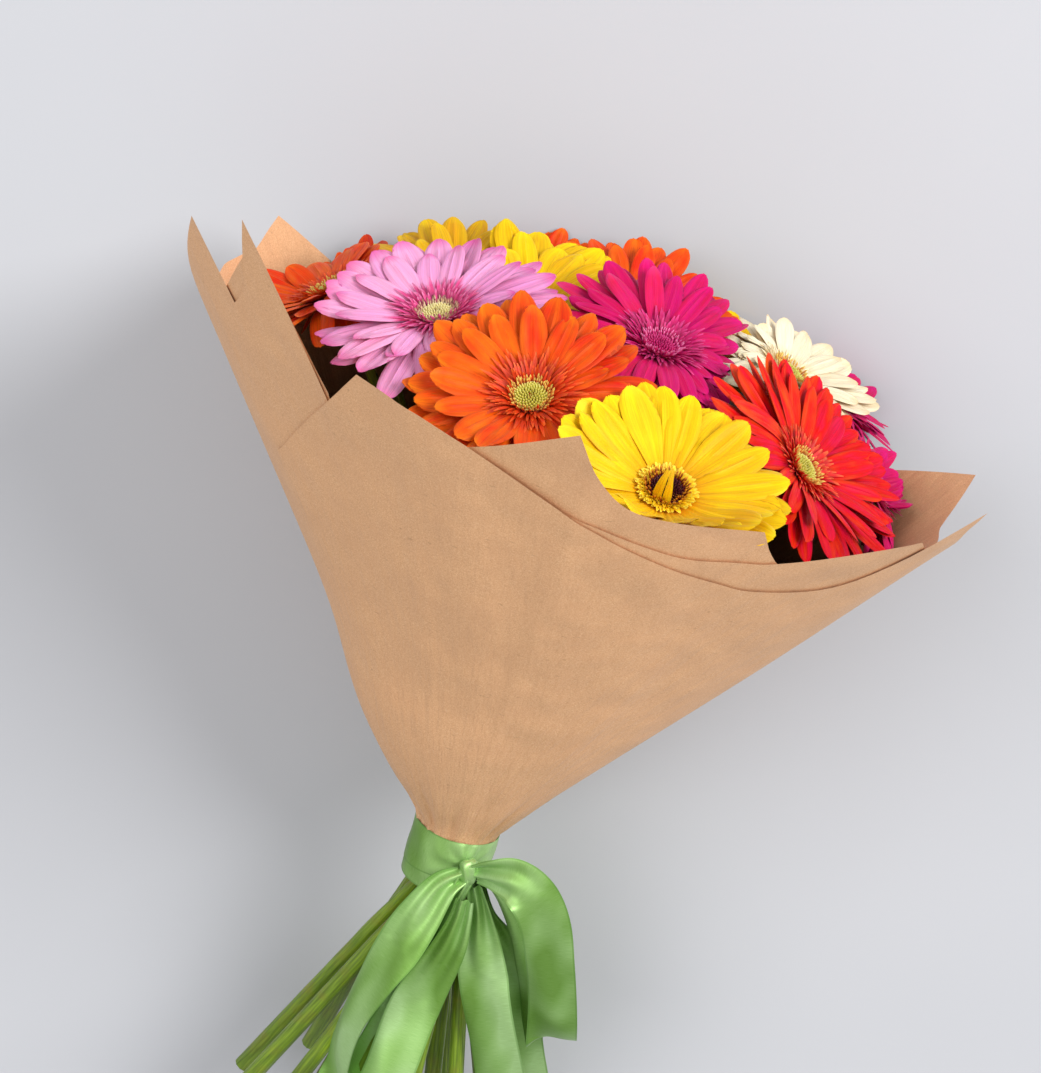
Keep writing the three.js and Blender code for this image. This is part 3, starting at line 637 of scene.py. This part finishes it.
# name: middle, (lean from the axis, side it leans to), radius, place in the tie, colour, disc
BLOOMS = {
    "yellow_front": ((44, 255, 98), (24, -3), 57, (4.9, 9.8), "yellow", "dark"),
    "orange_front": ((-25, 266, 67), (32, -20), 58, (-3.1, 6.8), "orange", "green"),
    "pink": ((-77, 271, 17), (24, -62), 60, (-6.3, 2.2), "pink", "pale"),
    "red_right": ((102, 250, 14), (37, 76), 60, (10.7, 3.8), "red", "green"),
    "magenta_middle": ((24, 280, -3), (12, 15), 60, (3.8, 2.8), "magenta", None),
    "yellow_middle": ((-40, 268, -42), (14, -20), 55, (-1.1, 0.3), "yellow", "green"),
    "orange_middle": ((7, 270, -64), (16, 5), 54, (1.2, -5.8), "vermilion", "green"),
    "orange_left": ((-128, 255, -16), (42, -95), 55, (-11.3, 0.2), "vermilion", "green"),
    "cream": ((86, 269, -47), (22, 95), 55, (5.6, -2.5), "cream", "green"),
    "magenta_right": ((135, 234, -34), (48, 99), 52, (11.2, -1.8), "magenta", None),
    "mustard_left": ((-79, 264, -50), (12, -40), 54, (-4.6, -4.1), "mustard", "green"),
    "rust_left": ((-121, 242, -72), (42, -115), 53, (-10.1, -5.3), "rust", "dark"),
    "magenta_back": ((112, 250, -82), (30, 125), 53, (9, -6.9), "magenta", None),
    "vermilion_back": ((-36, 263, -99), (12, -170), 53, (-1, -11.1), "vermilion", "green"),
    "orange_back": ((-78, 256, -99), (26, -150), 53, (-6.3, -9.4), "amber", "green"),
    "yellow_back": ((62, 257, -96), (28, 160), 53, (4.6, -10.3), "yellow", "dark"),
}
PARTING = {"lean": 66, "gap": 0.5, "raised": 4, "within": 6}
NEIGHBOURS_WITHIN = 190
ROOM = {"surface": 1.2, "surface_inside": 1.8, "paper": 2.5, "rim": 3, "cup": 2, "stalk": 3}


def sheaf_point(tie, y):
    """Where a stem is at y: they cross in the tie and fan out, less so off the surface."""
    depth = tie[0] + STEM_SPREAD * y * tie[1]
    flat = FAN_FLATTENING["front" if depth > 0 else "back"] * np.clip(y / STEM_END, 0, 1)
    return np.array([-tie[1] + STEM_SPREAD * y * tie[0], y, depth * (1 - flat)])


class Bloom:
    def __init__(self, name, at, face, size, tie, colour, disc):
        self.name, self.size, self.tie, self.colour, self.disc = name, size, tie, colour, disc
        lean, side = np.radians(face)
        self.centre = np.array(at, float)
        self.normal = np.array(
            [np.sin(lean) * np.sin(side), np.cos(lean), np.sin(lean) * np.cos(side)])
        self.up = unit(np.array([0, 0, 1]) - self.normal * self.normal[2])
        self.across = np.cross(self.normal, self.up)
        self.calyx = self.centre + self.normal * (CALYX["top"] - CALYX["depth"])
        self.stalk = self.stem_points(np.linspace(0.42, 1, 20))
        self.partings = []

    def stem_points(self, shares):
        """Points at shares of the way from the tie to the calyx."""
        start = sheaf_point(self.tie, FLARE_FROM + 4)
        along = unit(start - sheaf_point(self.tie, FLARE_FROM + 2))
        pull = np.linalg.norm(self.calyx - start)
        u = np.asarray(shares, float)[:, None]
        return (start * (2 * u**3 - 3 * u**2 + 1) + along * pull * (u**3 - 2 * u**2 + u)
                + self.calyx * (-2 * u**3 + 3 * u**2) + self.normal * pull * (u**3 - u**2))

    def outward(self, angle):
        return turned(angle, self.up, self.across)

    def at(self, outward, out, height):
        """Points so far out from the middle and above it."""
        return self.centre + spread(out, outward) + spread(height, self.normal)


blooms = [Bloom(name, *facts) for name, facts in BLOOMS.items()]


def part_neighbours():
    """A sloping face parts two neighbours: the upper's petals go over it, the lower's under."""
    lean = math.radians(PARTING["lean"])
    for i, upper in enumerate(blooms):
        for lower in blooms[i + 1:]:
            apart = lower.centre - upper.centre
            reach = upper.size + lower.size
            if np.linalg.norm(apart) > reach + PARTING["within"]:
                continue
            line = unit(apart)
            out = upper.normal + lower.normal
            out = unit(out - line * out.dot(line))
            through = upper.centre + apart * upper.size / reach + out * PARTING["raised"]
            facing = line * math.cos(lean) - out * math.sin(lean)
            upper.partings.append((through, facing))
            lower.partings.append((through, -facing))
    for bloom in blooms:
        near = [b for b in blooms if b is not bloom
                and np.linalg.norm(b.centre - bloom.centre) < NEIGHBOURS_WITHIN]
        bloom.cups = np.array([(b.centre + b.calyx) / 2 for b in near])
        bloom.stalks = np.concatenate([b.stalk for b in near])


part_neighbours()


def is_clear(bloom, points):
    """Which of the points keep off the surface, the paper and the other blooms."""
    x, y, z = points[..., 0], points[..., 1], points[..., 2]
    degrees = np.degrees(np.arctan2(x, z)) % 360
    inside = np.hypot(x, z) < wrap_radius(degrees, y) - ROOM["paper"]
    inside &= z > surface_z(y, ROOM["surface_inside"])
    outside = y > highest_rim(degrees) + ROOM["rim"]
    clear = (z > surface_z(y, ROOM["surface"])) & (inside | outside)
    for through, facing in bloom.partings:
        clear &= (points - through) @ facing < -PARTING["gap"]
    flat = points.reshape(-1, 3)
    cups = (bloom.cups, CALYX["radius"] + ROOM["cup"])
    stalks = (bloom.stalks, STEM_RADIUS + ROOM["stalk"])
    for others, room in (cups, stalks):
        far = np.linalg.norm(flat[:, None] - others[None], axis=2).min(1) > room
        clear &= far.reshape(clear.shape)
    return clear


# ---- Petals ----

# petals, height of their foot, share of the bloom's radius, rise and droop in degrees, half
# width, and the share of a step that the row starts at
ROWS = (
    (21, -0.5, 1.0, 9, 13, 6.3, 0), (21, 0.5, 0.96, 16, 15, 6, 0.5),
    (17, 1.5, 0.8, 26, 20, 5.2, 0.25))
HABIT = {  # shares of the petals' number, of their width and of the frill's length
    "orange": (0.95, 1.25, 1.0), "yellow": (1, 1.4, 0.34), "red": (1.25, 0.88, 0.9),
    "magenta": (1.1, 0.92, 0.9), "pink": (0.9, 1.16, 1.0), "cream": (0.9, 1.2, 0.6),
    "mustard": (0.9, 1.1, 0.6), "vermilion": (0.9, 1.12, 0.8), "rust": (1, 1, 0.7),
    "amber": (1, 1, 0.7),
}
FEWER_ROWS = {"yellow_front": 2}
CURLED = {"yellow_front": ((-0.42, 72), (0.12, 80))}  # petals over the disc: angle and rise
CURL = {"base": 1.5, "droop": -66, "length": 19, "half": 4.2}
BENDS = (5, 10, 15, 20, 26, 32, 39, 46, 54, 63, 73)
BEND_TRIES = np.array([0, *[way * bend for bend in BENDS for way in (1, -1)]])
LENGTH_TRIES = (1, 0.92, 0.84, 0.75, 0.66, 0.57, 0.48, 0.39, 0.3)
STATIONS = 1 - (1 - np.linspace(0, 1, 13)) ** 1.4  # closer together towards the tip
ROOT_RADIUS = 8.0
PETAL_COLUMNS = 9
PETAL_THICKNESS = 0.45
PETAL_GAP = 0.5


def courses(base, rise, droop, bends, length):
    """Distance out, height and pitch at each station, for each of the bends."""
    s = STATIONS[None]
    pitch = np.radians(rise - droop * s + bends[:, None] * smooth(s, 0, 0.7))
    step = np.diff(STATIONS) * length
    middle = (pitch[:, 1:] + pitch[:, :-1]) / 2
    out, up = running(np.cos(middle) * step), running(np.sin(middle) * step)
    return ROOT_RADIUS + out, base + up, pitch


def half_width(half, out):
    """A strap that widens to two thirds of its length and rounds off to its tip."""
    s = STATIONS
    tip = np.sqrt(1 - (np.clip(s - 0.6, 0, 1) / 0.404) ** 2.6)
    return np.minimum(half * ((0.4 + 0.6 * smooth(s, 0, 0.55)) * tip),
                      0.25 * np.maximum(out, 5))


def settle(bloom, base, angle, rise, droop, length, half, below):
    """The straightest and longest course clear of all else and above the petals below."""
    outward = bloom.outward(angle)
    side = np.cross(outward, bloom.normal)
    for share in LENGTH_TRIES:
        out, height, pitch = courses(base, rise, droop, BEND_TRIES, length * share)
        centre = bloom.at(outward, out, height)
        wide = half_width(half, out) * 0.9
        points = np.stack([centre + spread(hand * wide, side) for hand in (-1, 0, 1)], 2)
        free = is_clear(bloom, points[:, 2:]).all((1, 2))
        free &= np.abs(BEND_TRIES) < 34 + 62 * (1 - share)
        for k in np.flatnonzero(free):
            if all(is_above(out[k], height[k], other) for other in below):
                return out[k], height[k], pitch[k], share
    return None


def is_above(out, height, other):
    start, end = HUB_RADIUS + 3, min(out[-1], other[0].max())
    if end <= start:
        return True
    places = np.linspace(start, end, 6)
    gap = np.interp(places, out, height) - np.interp(places, other[0], other[1])
    return bool(np.all(gap > PETAL_GAP))


def add_petal(body, bloom, angle, course, half, rng):
    out, height, pitch, _ = course
    outward = bloom.outward(angle)
    side = np.cross(outward, bloom.normal)
    t = np.linspace(-1, 1, PETAL_COLUMNS)[:, None]
    s = STATIONS[None]
    wide = half_width(half, out)[None]
    twist = rng.normal(0, 0.2) * s**1.5
    sway = rng.normal(0, 1.6) * s**2
    cup = rng.uniform(0.0, 0.3) * (1 - 0.7 * s)
    curl = rng.normal(0, 0.2) * smooth(s, 0.55, 1)
    along = turned(pitch[None], outward, bloom.normal)
    lift = turned(pitch[None], bloom.normal, -outward)
    over, face = turned(twist, side, lift), turned(twist, lift, -side)
    groove = 0.1 * np.cos(3 * np.pi * t) * smooth(s, 0.05, 0.3) * (1 - smooth(s, 0.88, 1))
    profile = wide * ((cup + curl) * (t**2 - 0.33) + groove)
    teeth = 0.35 * np.cos(3 * np.pi * t + rng.uniform(-0.6, 0.6)) * smooth(s, 0.9, 1)
    middle = bloom.at(outward, out, height)[None]
    middle = middle + spread(t * wide + sway, over) + spread(profile, face)
    middle = middle + spread(teeth, along)
    # painted light and shade: the draw is higher for petals that point to the bouquet's left, so
    # they show lighter, and lower for those that point right, which show darker and deeper, as a
    # cupped bloom lit from the right would look; a random tone lies on top
    draw = np.clip(0.5 - 0.35 * outward[0] + rng.normal(0, 0.18), 0, 1)
    thick = PETAL_THICKNESS * (1 - t**4) * (1 - 0.4 * s)
    add_leaf(body, middle, face, thick, joined((t + 1) / 2, s), draw)


# ---- Frill, disc and calyx ----

# rings of short florets: count, radius of the ring, height, length, pitch, half width
FRILL = (
    (60, 9.6, 2.6, 16.5, 30, 0.95), (60, 9.4, 2.8, 13.5, 38, 0.85),
    (54, 9.0, 3.0, 10.0, 48, 0.75), (44, 8.6, 3.2, 7.0, 60, 0.65))
FRILL_THICKNESS = 0.35
DISC_RADIUS = 7.6
BUDS = 130
GOLDEN_ANGLE = math.pi * (3 - math.sqrt(5))
OPEN_FLORETS = ((44, 8.3, 4.6, 0.55), (38, 7.4, 3.9, 0.3))  # count, radius, length, lean
OPEN_RADII = (0.42, 0.3, 0.3, 0.5, 0.12)
HUB_PROFILE = (  # radius and height
    (3, -1.3), (9.0, -1.2), (9.6, 0.4), (9.4, 2.4), (8.6, 3.4), (5, 4.4), (0.1, 4.6))
HUB_SIDES = 32


def add_frill_floret(body, bloom, angle, ring, share, least_pitch, rng):
    """A short pointed floret that stands up from the middle and turns outward."""
    s = np.linspace(0, 1, 5)[None]
    t = np.linspace(-1, 1, 3)[:, None]
    _, radius, base, long, pitch, half = ring
    long = long * share * rng.uniform(0.8, 1.1)
    start = max(pitch + rng.normal(0, 6), least_pitch)
    pitch = np.radians(start - 22 * s * (start < 60) + rng.normal(0, 8) * s)
    out = radius + running(np.cos(pitch[:, 1:])) * long / 4
    height = base + running(np.sin(pitch[:, 1:])) * long / 4
    outward = bloom.outward(angle)
    side = np.cross(outward, bloom.normal)
    wide = half * (0.75 + 0.5 * s) * (1 - 0.75 * smooth(s, 0.6, 1))
    lift = turned(pitch, bloom.normal, -outward)
    middle = bloom.at(outward, out, height) + spread(t * wide, side)
    middle = middle + spread(0.35 * wide * (t**2 - 0.5), lift)
    middle = middle + spread(rng.normal(0, 0.5) * s**2, side)
    if is_clear(bloom, middle[:, -1]).all():
        uv = joined((t + 1) / 2, s)
        add_leaf(body, middle, lift, FRILL_THICKNESS, uv, rng.random(), 1)


def add_rod(body, foot, toward, long, radii, sides, draw, slot):
    """A small round rod along toward, with the given radii at even steps."""
    a = unit(np.cross(toward, [0.3, 0.9, 0.31]))
    b = np.cross(toward, a)
    turn = turns(sides)
    ring = turned(turn, a, b)
    steps = np.linspace(0, 1, len(radii))[:, None]
    points = foot + spread(steps, toward) * long + np.array(radii)[:, None, None] * ring
    uv = joined(turn[None] / FULL_TURN, steps)
    body.add(points, grid(len(radii), sides), uv, draw, 0.0, slot)


def add_disc(body, bloom, rng):
    """Closed buds in a spiral over a low dome, and two rings of open florets."""
    for i in range(BUDS):
        share = math.sqrt((i + 0.5) / BUDS)
        r, angle = DISC_RADIUS * share, i * GOLDEN_ANGLE
        dome = 0.2 + 2.2 * (1 - share ** 2) - 1.3 * math.exp(-((r / 1.6) ** 2))
        outward = bloom.outward(angle)
        lean = unit(bloom.normal + outward * 0.45 * share)
        size = 0.62 * (0.7 + 0.5 * share)
        radii = [size, size * 1.05, size * 0.75, 0.05]
        draw = 0.15 + 0.6 * share + rng.uniform(-0.12, 0.2)
        long = 2.1 * rng.uniform(0.85, 1.15)
        foot = bloom.at(outward, r, HUB_TOP + dome - 0.8)
        add_rod(body, foot, lean, long, radii, 6, draw, 0)
    for count, r, long, lean in OPEN_FLORETS:
        for i in range(count):
            angle = FULL_TURN * (i + rng.uniform(-0.3, 0.3)) / count
            aside = bloom.outward(angle + rng.normal(0, 0.3))
            toward = unit(bloom.normal + aside * (lean + rng.normal(0, 0.14)))
            length = long * rng.uniform(0.8, 1.15)
            foot = bloom.at(bloom.outward(angle), r, HUB_TOP)
            add_rod(body, foot, toward, length, OPEN_RADII, 5, rng.random(), 1)


def add_hub(body, bloom):
    """The body that the petals grow from, between the calyx and the disc."""
    turn = turns(HUB_SIDES)
    points = [bloom.at(bloom.outward(turn), r, h) for r, h in HUB_PROFILE]
    uv = [joined(turn, 0.02)] * len(HUB_PROFILE)
    faces = grid(len(HUB_PROFILE), HUB_SIDES)[:, ::-1]
    body.add(np.array(points), faces, np.array(uv), 0.3, 0.0, 1)


def beside(settled, angle, within):
    """The courses of the settled petals within some radians of an angle."""
    return [course for at, course in settled
            if abs((at - angle + math.pi) % FULL_TURN - math.pi) < within]


def add_bloom(bloom, index, materials):
    rng = np.random.default_rng(100 + index)
    spin = index * 0.37
    body = Body()
    settled = []
    more, wider, frilled = HABIT[bloom.colour]
    rows = ROWS[:FEWER_ROWS.get(bloom.name, len(ROWS))]
    for petals, base, reach, row_rise, row_droop, row_half, start in rows:
        made = []
        count = round(petals * more)
        step = FULL_TURN / count
        for i in range(count):
            angle = spin + FULL_TURN * (i + start) / count + rng.normal(0, 0.04)
            rise, droop = row_rise + rng.normal(0, 2.6), row_droop + rng.normal(0, 7)
            length = (bloom.size * reach - ROOT_RADIUS) * rng.uniform(0.93, 1.03)
            half = row_half * wider * bloom.size / 58 * rng.uniform(0.9, 1.1)
            below = beside(settled, angle, 0.8 * step)
            course = settle(bloom, base, angle, rise, droop, length, half, below)
            if course is None:
                continue
            made.append((angle, course))
            add_petal(body, bloom, angle, course, half * (0.6 + 0.4 * course[3]), rng)
        settled += made
    for angle, rise in CURLED.get(bloom.name, ()):
        course = courses(CURL["base"], rise, CURL["droop"], np.zeros(1), CURL["length"])
        add_petal(body, bloom, angle, (*[part[0] for part in course], 1), CURL["half"], rng)
    for ring in FRILL:
        count = ring[0]
        for i in range(count):
            angle = spin + FULL_TURN * (i + rng.uniform(-0.3, 0.3)) / count
            steep = [math.degrees(math.atan2(height[4] - height[0], out[4] - out[0]))
                     for out, height, _, _ in beside(settled, angle, 0.2)]
            least = max([ring[4] - 8, *[pitch + 9 for pitch in steep]])
            add_frill_floret(body, bloom, angle, ring, frilled, least, rng)
    add_hub(body, bloom)
    petals = (f"bloom_{bloom.name}", f"petals_{bloom.colour}")
    slots = [materials[bloom.colour], materials[f"frill_{bloom.colour}"]]
    body.make(f"rays_{bloom.name}", slots, *petals)
    body = Body()
    add_disc(body, bloom, rng)
    disc = bloom.disc or bloom.colour
    middle = (f"disc_{bloom.name}", f"disc_{bloom.disc}") if bloom.disc else petals
    slots = [materials[f"disc_{disc}"], materials[f"style_{disc}"]]
    body.make(f"florets_{bloom.name}", slots, *middle)


# ---- Stems ----

STEM_SIDES = 30
FOOT_RADII = ([0, 0.75, 1], [4.3, 3.9, STEM_RADIUS])  # shares of the way to the tie, radii
CUP = {"at": (2, 5, 8, 10.5, 12, 12.9), "radii": (3.0, 4.4, 6.0, 7.6, 8.6, 8.9)}
CUT_RINGS = (1, 0.96, 0.6, 0.02)  # shares of the cut end's radius
CUT_LOWERED = (0.12, 0.12, 0.0)
CUT_SHADES = (1, 0.9, 0.3, 0)
BRACT_RINGS = ((15, 5.5, 9.5, 1.9), (17, 2.5, 11.5, 2.0))  # count, foot, length, half width
BRACT_PROFILE = ((0, 2, 5, 8, 10.5, 12, 12.9, 15), (2.6, 3.1, 4.6, 6.2, 7.8, 8.8, 9.3, 10.6))
BRACT_TOP = 12.4


def tube_rings(middles, radii):
    """Ribbed rings about a line, turned as little as possible from one to the next."""
    along = unit(np.gradient(middles, axis=0))
    a = unit(np.cross(along[0], [0.2, 0.1, 1]))
    turn = turns(STEM_SIDES)
    ribbed = 1 + 0.035 * np.cos(turn * 10)
    rings = []
    for middle, way, radius in zip(middles, along, radii):
        a = unit(a - way * a.dot(way))
        b = np.cross(way, a)
        r = radius * ribbed
        rings.append(middle + spread(np.cos(turn) * r, a) + spread(np.sin(turn) * r, b))
    return np.array(rings), turn


def add_stem(bloom, index, material):
    rng = np.random.default_rng(500 + index)
    low = [sheaf_point(bloom.tie, y) for y in np.linspace(STEM_END, PAPER_FOOT - 4, 24)]
    waist = sheaf_point(bloom.tie, 2)
    upper = bloom.stem_points(np.linspace(0, 1, 26))
    cup = [bloom.calyx + bloom.normal * along for along in CUP["at"]]
    middles = np.concatenate([low, [waist], upper, cup])
    radii = np.concatenate([
        np.interp(np.linspace(0, 1, 24), *FOOT_RADII) + rng.normal(0, 0.04, 24),
        STEM_RADIUS + np.r_[0, rng.normal(0, 0.04, 26)], CUP["radii"]])
    rings, turn = tube_rings(middles, radii)
    uv = joined(turn[None] / FULL_TURN, travelled(middles)[:, None] / 60)
    body = Body()
    body.add(rings, grid(len(rings), STEM_SIDES)[:, ::-1], uv, rng.random())
    foot = rings[0] - middles[0]
    caps = np.array([middles[0] + foot * share for share in CUT_RINGS])
    caps[1:] -= unit(middles[1] - middles[0]) * np.array(CUT_LOWERED)[:, None, None]
    shade = joined(np.array(CUT_SHADES)[:, None], turn[None] * 0)
    body.add(caps, grid(len(caps), STEM_SIDES), shade, 0.5, 1.0)
    top = rings[-1] - middles[-1]
    lid = np.array([middles[-1] + top * share for share in (1, 0.02)])
    body.add(lid, grid(2, STEM_SIDES)[:, ::-1], np.zeros((2, STEM_SIDES, 2)), 0.5)
    add_bracts(body, bloom, rng)
    body.make(f"stalk_{bloom.name}", [material], f"stem_{bloom.name}", "stem_green")


def add_bracts(body, bloom, rng):
    """Two rings of narrow green scales that hold the bloom from below."""
    t = np.linspace(-1, 1, 3)[:, None]
    s = np.linspace(0, 1, 6)[None]
    for count, start, long, half in BRACT_RINGS:
        for i in range(count):
            angle = FULL_TURN * (i + rng.uniform(-0.2, 0.2)) / count
            outward = bloom.outward(angle)
            side = np.cross(outward, bloom.normal)
            rise = start + long * s * rng.uniform(0.9, 1.05)
            out = np.interp(rise, *BRACT_PROFILE) + 0.5
            wide = half * (0.5 + 0.6 * smooth(s, 0, 0.4)) * (1 - 0.92 * smooth(s, 0.5, 1))
            middle = bloom.calyx + spread(out - 0.25 * wide * t**2, outward)
            middle = middle + spread(t * wide, side)
            middle = middle + spread(np.minimum(rise, BRACT_TOP), bloom.normal)
            uv = joined((t + 1) / 12 + i / count, s * 0.2)
            lift = outward - bloom.normal * 0.6
            add_leaf(body, middle, lift, 0.5, uv, rng.random())


# ---- Ribbon ----

RIBBON_WIDTH = 25
RIBBON_THICKNESS = 0.3
STEPS_BETWEEN = 14
KNOT = {"at": (12, 3.5, 22.8), "size": (6.2, 7.4, 4.4), "turn": 28}
# each point: the ribbon's middle and the share of its width that shows. A loop looks to the front
# up to the point where it turns over, and to the back past it; lean tips its front part
LOOPS = {  # lean, number of the point where it turns over, points
    "left": (55, 8, [
        (9, 2, 25, .4), (1, -5, 31, .64), (-5, -21, 37, .88), (-10, -38, 41, 1),
        (-16, -56, 44, 1), (-22, -78, 46, 1), (-23, -98, 46, 1), (-20, -115, 44, 1),
        (-16, -126, 40, 1), (-10, -122, 36, 1), (-4, -100, 34, .96), (1, -66, 29.5, .8),
        (5, -33, 26.5, .56), (9, -10, 26, .4), (11, 1, 25, .4)]),
    "right": (0, 8, [
        (15, 5, 25, .4), (24, 10, 31, .68), (35, 13, 36, .92), (46, 8, 39, 1),
        (55, -5, 38, 1), (63, -28, 33, 1), (70, -52, 27, 1), (74, -68, 21, 1),
        (75, -78, 13, 1), (70, -74, 6, 1), (61, -50, 8, .96), (50, -26, 12, .8),
        (36, -7, 17, .6), (24, 2, 19.5, .44), (17, 4, 22, .4)]),
}
TAILS = {
    "1": [
        (14, -9, 28.8, .36), (14.5, -20, 31, .48), (13, -36, 34, .72), (6, -67, 38, 1),
        (3, -100, 50, 1), (-1, -126, 57, 1), (-6, -151, 56, 1)],
    "2": [
        (16.9, -4.2, 21.2, .28), (22.5, -16, 23.5, .48), (27, -30, 26, .8), (34, -48, 28, 1),
        (40, -62, 30, 1), (53, -90, 30, 1), (62, -112, 25, 1), (69, -132, 16, 1)],
    "3": [
        (17.4, -1.4, 17.6, .24), (25, -20, 13.5, .44), (34, -34, 9, .76), (44, -50, 3, 1),
        (53, -68, 1, 1), (61, -95, -3, 1), (69, -116, -8, 1), (77, -138, -16, 1)],
}
BAND_TURNS = {  # lower and upper edge, lift off the first turn, slant
    "band_under": (-15, 8, 0.0, 0.0), "band_over": (-7, 16, 0.45, 2.6)}


def spline(values, count):
    """Values at count even places along a Catmull-Rom curve through the given ones."""
    v = np.concatenate([[2 * values[0] - values[1]], values, [2 * values[-1] - values[-2]]])
    at = np.linspace(0, len(values) - 1, count)
    i = np.minimum(at.astype(int), len(values) - 2)
    t = (at - i).reshape(-1, *[1] * (values.ndim - 1))
    a, b, c, d = v[i], v[i + 1], v[i + 2], v[i + 3]
    return 0.5 * (2 * b + (c - a) * t + (2 * a - 5 * b + 4 * c - d) * t**2
                  + (3 * b - a - 3 * c + d) * t**3)


def add_strand(name, run, lean, over, node, material, phase):
    """A ribbon along its run, folded in pleats where less than its full width shows."""
    stations = np.array(run, float)
    facing = np.sign(over - np.arange(len(run)))
    way = unit(np.gradient(stations[:, :3], axis=0))
    across = np.cross(way, np.outer(facing, [0, 0, 1]))
    for i in np.flatnonzero(facing == 0):
        across[i] = across[i - 1] + across[i + 1]
    across = unit(across)
    tip = np.radians(lean) * np.sin(np.pi * np.arange(len(run)) / (len(run) - 1))
    across = turned(tip * (facing > 0), across, np.cross(way, across))
    count = STEPS_BETWEEN * (len(run) - 1) + 1
    middles = spline(stations[:, :3], count)
    across = unit(spline(across, count))
    share = np.clip(spline(stations[:, 3], count), 0.2, 1)[None]
    along = unit(np.gradient(middles, axis=0))
    across = unit(across - along * (across * along).sum(1, keepdims=True))
    face = np.cross(across, along)
    t = np.linspace(-1, 1, 25)[:, None]
    ease = smooth(share, 0.4, 1.0)
    travel = travelled(middles)
    roll = np.radians(12) * (ease[0] * np.sin(travel / 22 + phase))
    across, face = turned(roll, across, face), turned(roll, face, -across)
    pleat = np.sqrt(np.maximum(0, 1 - share**2)) * 2.1 * np.sin(t * np.pi * 2 + phase)
    belly = 2.2 * (t**2 - 0.4) * np.sin(travel / 20 + phase)
    belly = ease * (belly + 0.8 * np.sin(3.0 * t + travel / 14))
    points = middles[None] + spread(t * share * RIBBON_WIDTH / 2, across[None])
    points = points + spread(pleat + belly, face[None])
    body = Body()
    uv = joined((t + 1) / 2, travel[None] / 100)
    add_leaf(body, points, face[None], RIBBON_THICKNESS, uv, 0.5)
    piece = body.make(name, [material], node, "ribbon_satin")


def add_knot(material):
    """The ribbon pulled tight over itself: a flattened ball with folds across it."""
    u = turns(48)[None]
    v = np.linspace(0.03, np.pi - 0.03, 30)[:, None]
    ball = joined(np.sin(v) * np.cos(u), np.cos(v), np.sin(v) * np.sin(u))
    folds = np.sin(9 * ball[..., 0] + 1.5 * np.sin(3 * ball[..., 1]))
    ball = ball * (1 + 0.12 * folds * np.sin(v) - 0.04)[..., None] * KNOT["size"]
    x, y, z = ball[..., 0], ball[..., 1], ball[..., 2]
    cos, sin = math.cos(math.radians(KNOT["turn"])), math.sin(math.radians(KNOT["turn"]))
    points = joined(x * cos + z * sin, y, z * cos - x * sin)
    body = Body()
    body.add(points + KNOT["at"], grid(*x.shape), joined(x / 20 + 0.5, y / 60))
    body.make("knot", [material], "ribbon_bow", "ribbon_satin")


def add_band(material):
    """Two turns of ribbon round the tie, with folds that run to the knot; the outer slants."""
    turn = np.linspace(0, FULL_TURN, 97)[None]
    t = np.linspace(0, 1, 17)[:, None]
    aside = (turn - math.radians(KNOT["turn"]) + np.pi) % FULL_TURN - np.pi
    for name, (low, high, lift, slant) in BAND_TURNS.items():
        y = low + (high - low) * t + slant * np.cos(turn - 0.9) * (0.4 + 0.6 * (1 - t))
        y = np.clip(y, BAND["from"], BAND["to"])
        pucker = 0.13 * np.sin(turn * 11 + 5 * t) * np.sin(np.pi * t)
        pucker = pucker + 0.1 * np.sin(turn * 5 + 9 * t)
        rays = np.arctan2(y - KNOT["at"][1], aside * BAND["inner"])
        pull = 0.5 * (1 + np.sin(9 * rays + 2 * t)) * np.exp(-((aside / 0.85) ** 2))
        r = BAND["inner"] + 0.45 + lift + pucker + pull * (1 - (2 * t - 1) ** 4)
        sin, cos = np.sin(turn), np.cos(turn)
        body = Body()
        uv = joined(t, turn * r / 100)
        points, lifted = joined(r * sin, y, r * cos), joined(sin, 0, cos)
        add_leaf(body, points, lifted, RIBBON_THICKNESS, uv, 0.5)
        piece = body.make(name, [material], "ribbon_band", "ribbon_satin")


# ---- The whole ----

FLOOR_REACH = 6.0  # metres


def add_floor():
    mesh = bpy.data.meshes.new("floor")
    far = FLOOR_REACH
    corners = [(-far, -far, 0), (far, -far, 0), (far, far, 0), (-far, far, 0)]
    mesh.from_pydata(corners, [], [(0, 1, 2, 3)])
    mesh.materials.append(floor_material())
    add_object("floor", mesh)


def build():
    add_lights(*set_camera())
    set_world()
    petals = flower_materials()
    stem, paper, satin = stem_material(), paper_material(), ribbon_material()
    for name, (layer, rim) in SHEETS.items():
        add_sheet(name, layer, rim, paper)
    for index, bloom in enumerate(blooms):
        add_bloom(bloom, index, petals)
        add_stem(bloom, index, stem)
    add_knot(satin)
    add_band(satin)
    for name, (lean, over, run) in LOOPS.items():
        add_strand(f"loop_{name}", run, lean, over, "ribbon_bow", satin, 0.6)
    for i, (name, run) in enumerate(TAILS.items()):
        add_strand(f"tail_{name}", run, 0, len(run), f"ribbon_tail_{name}", satin, 1.1 * i)
    add_floor()


build()
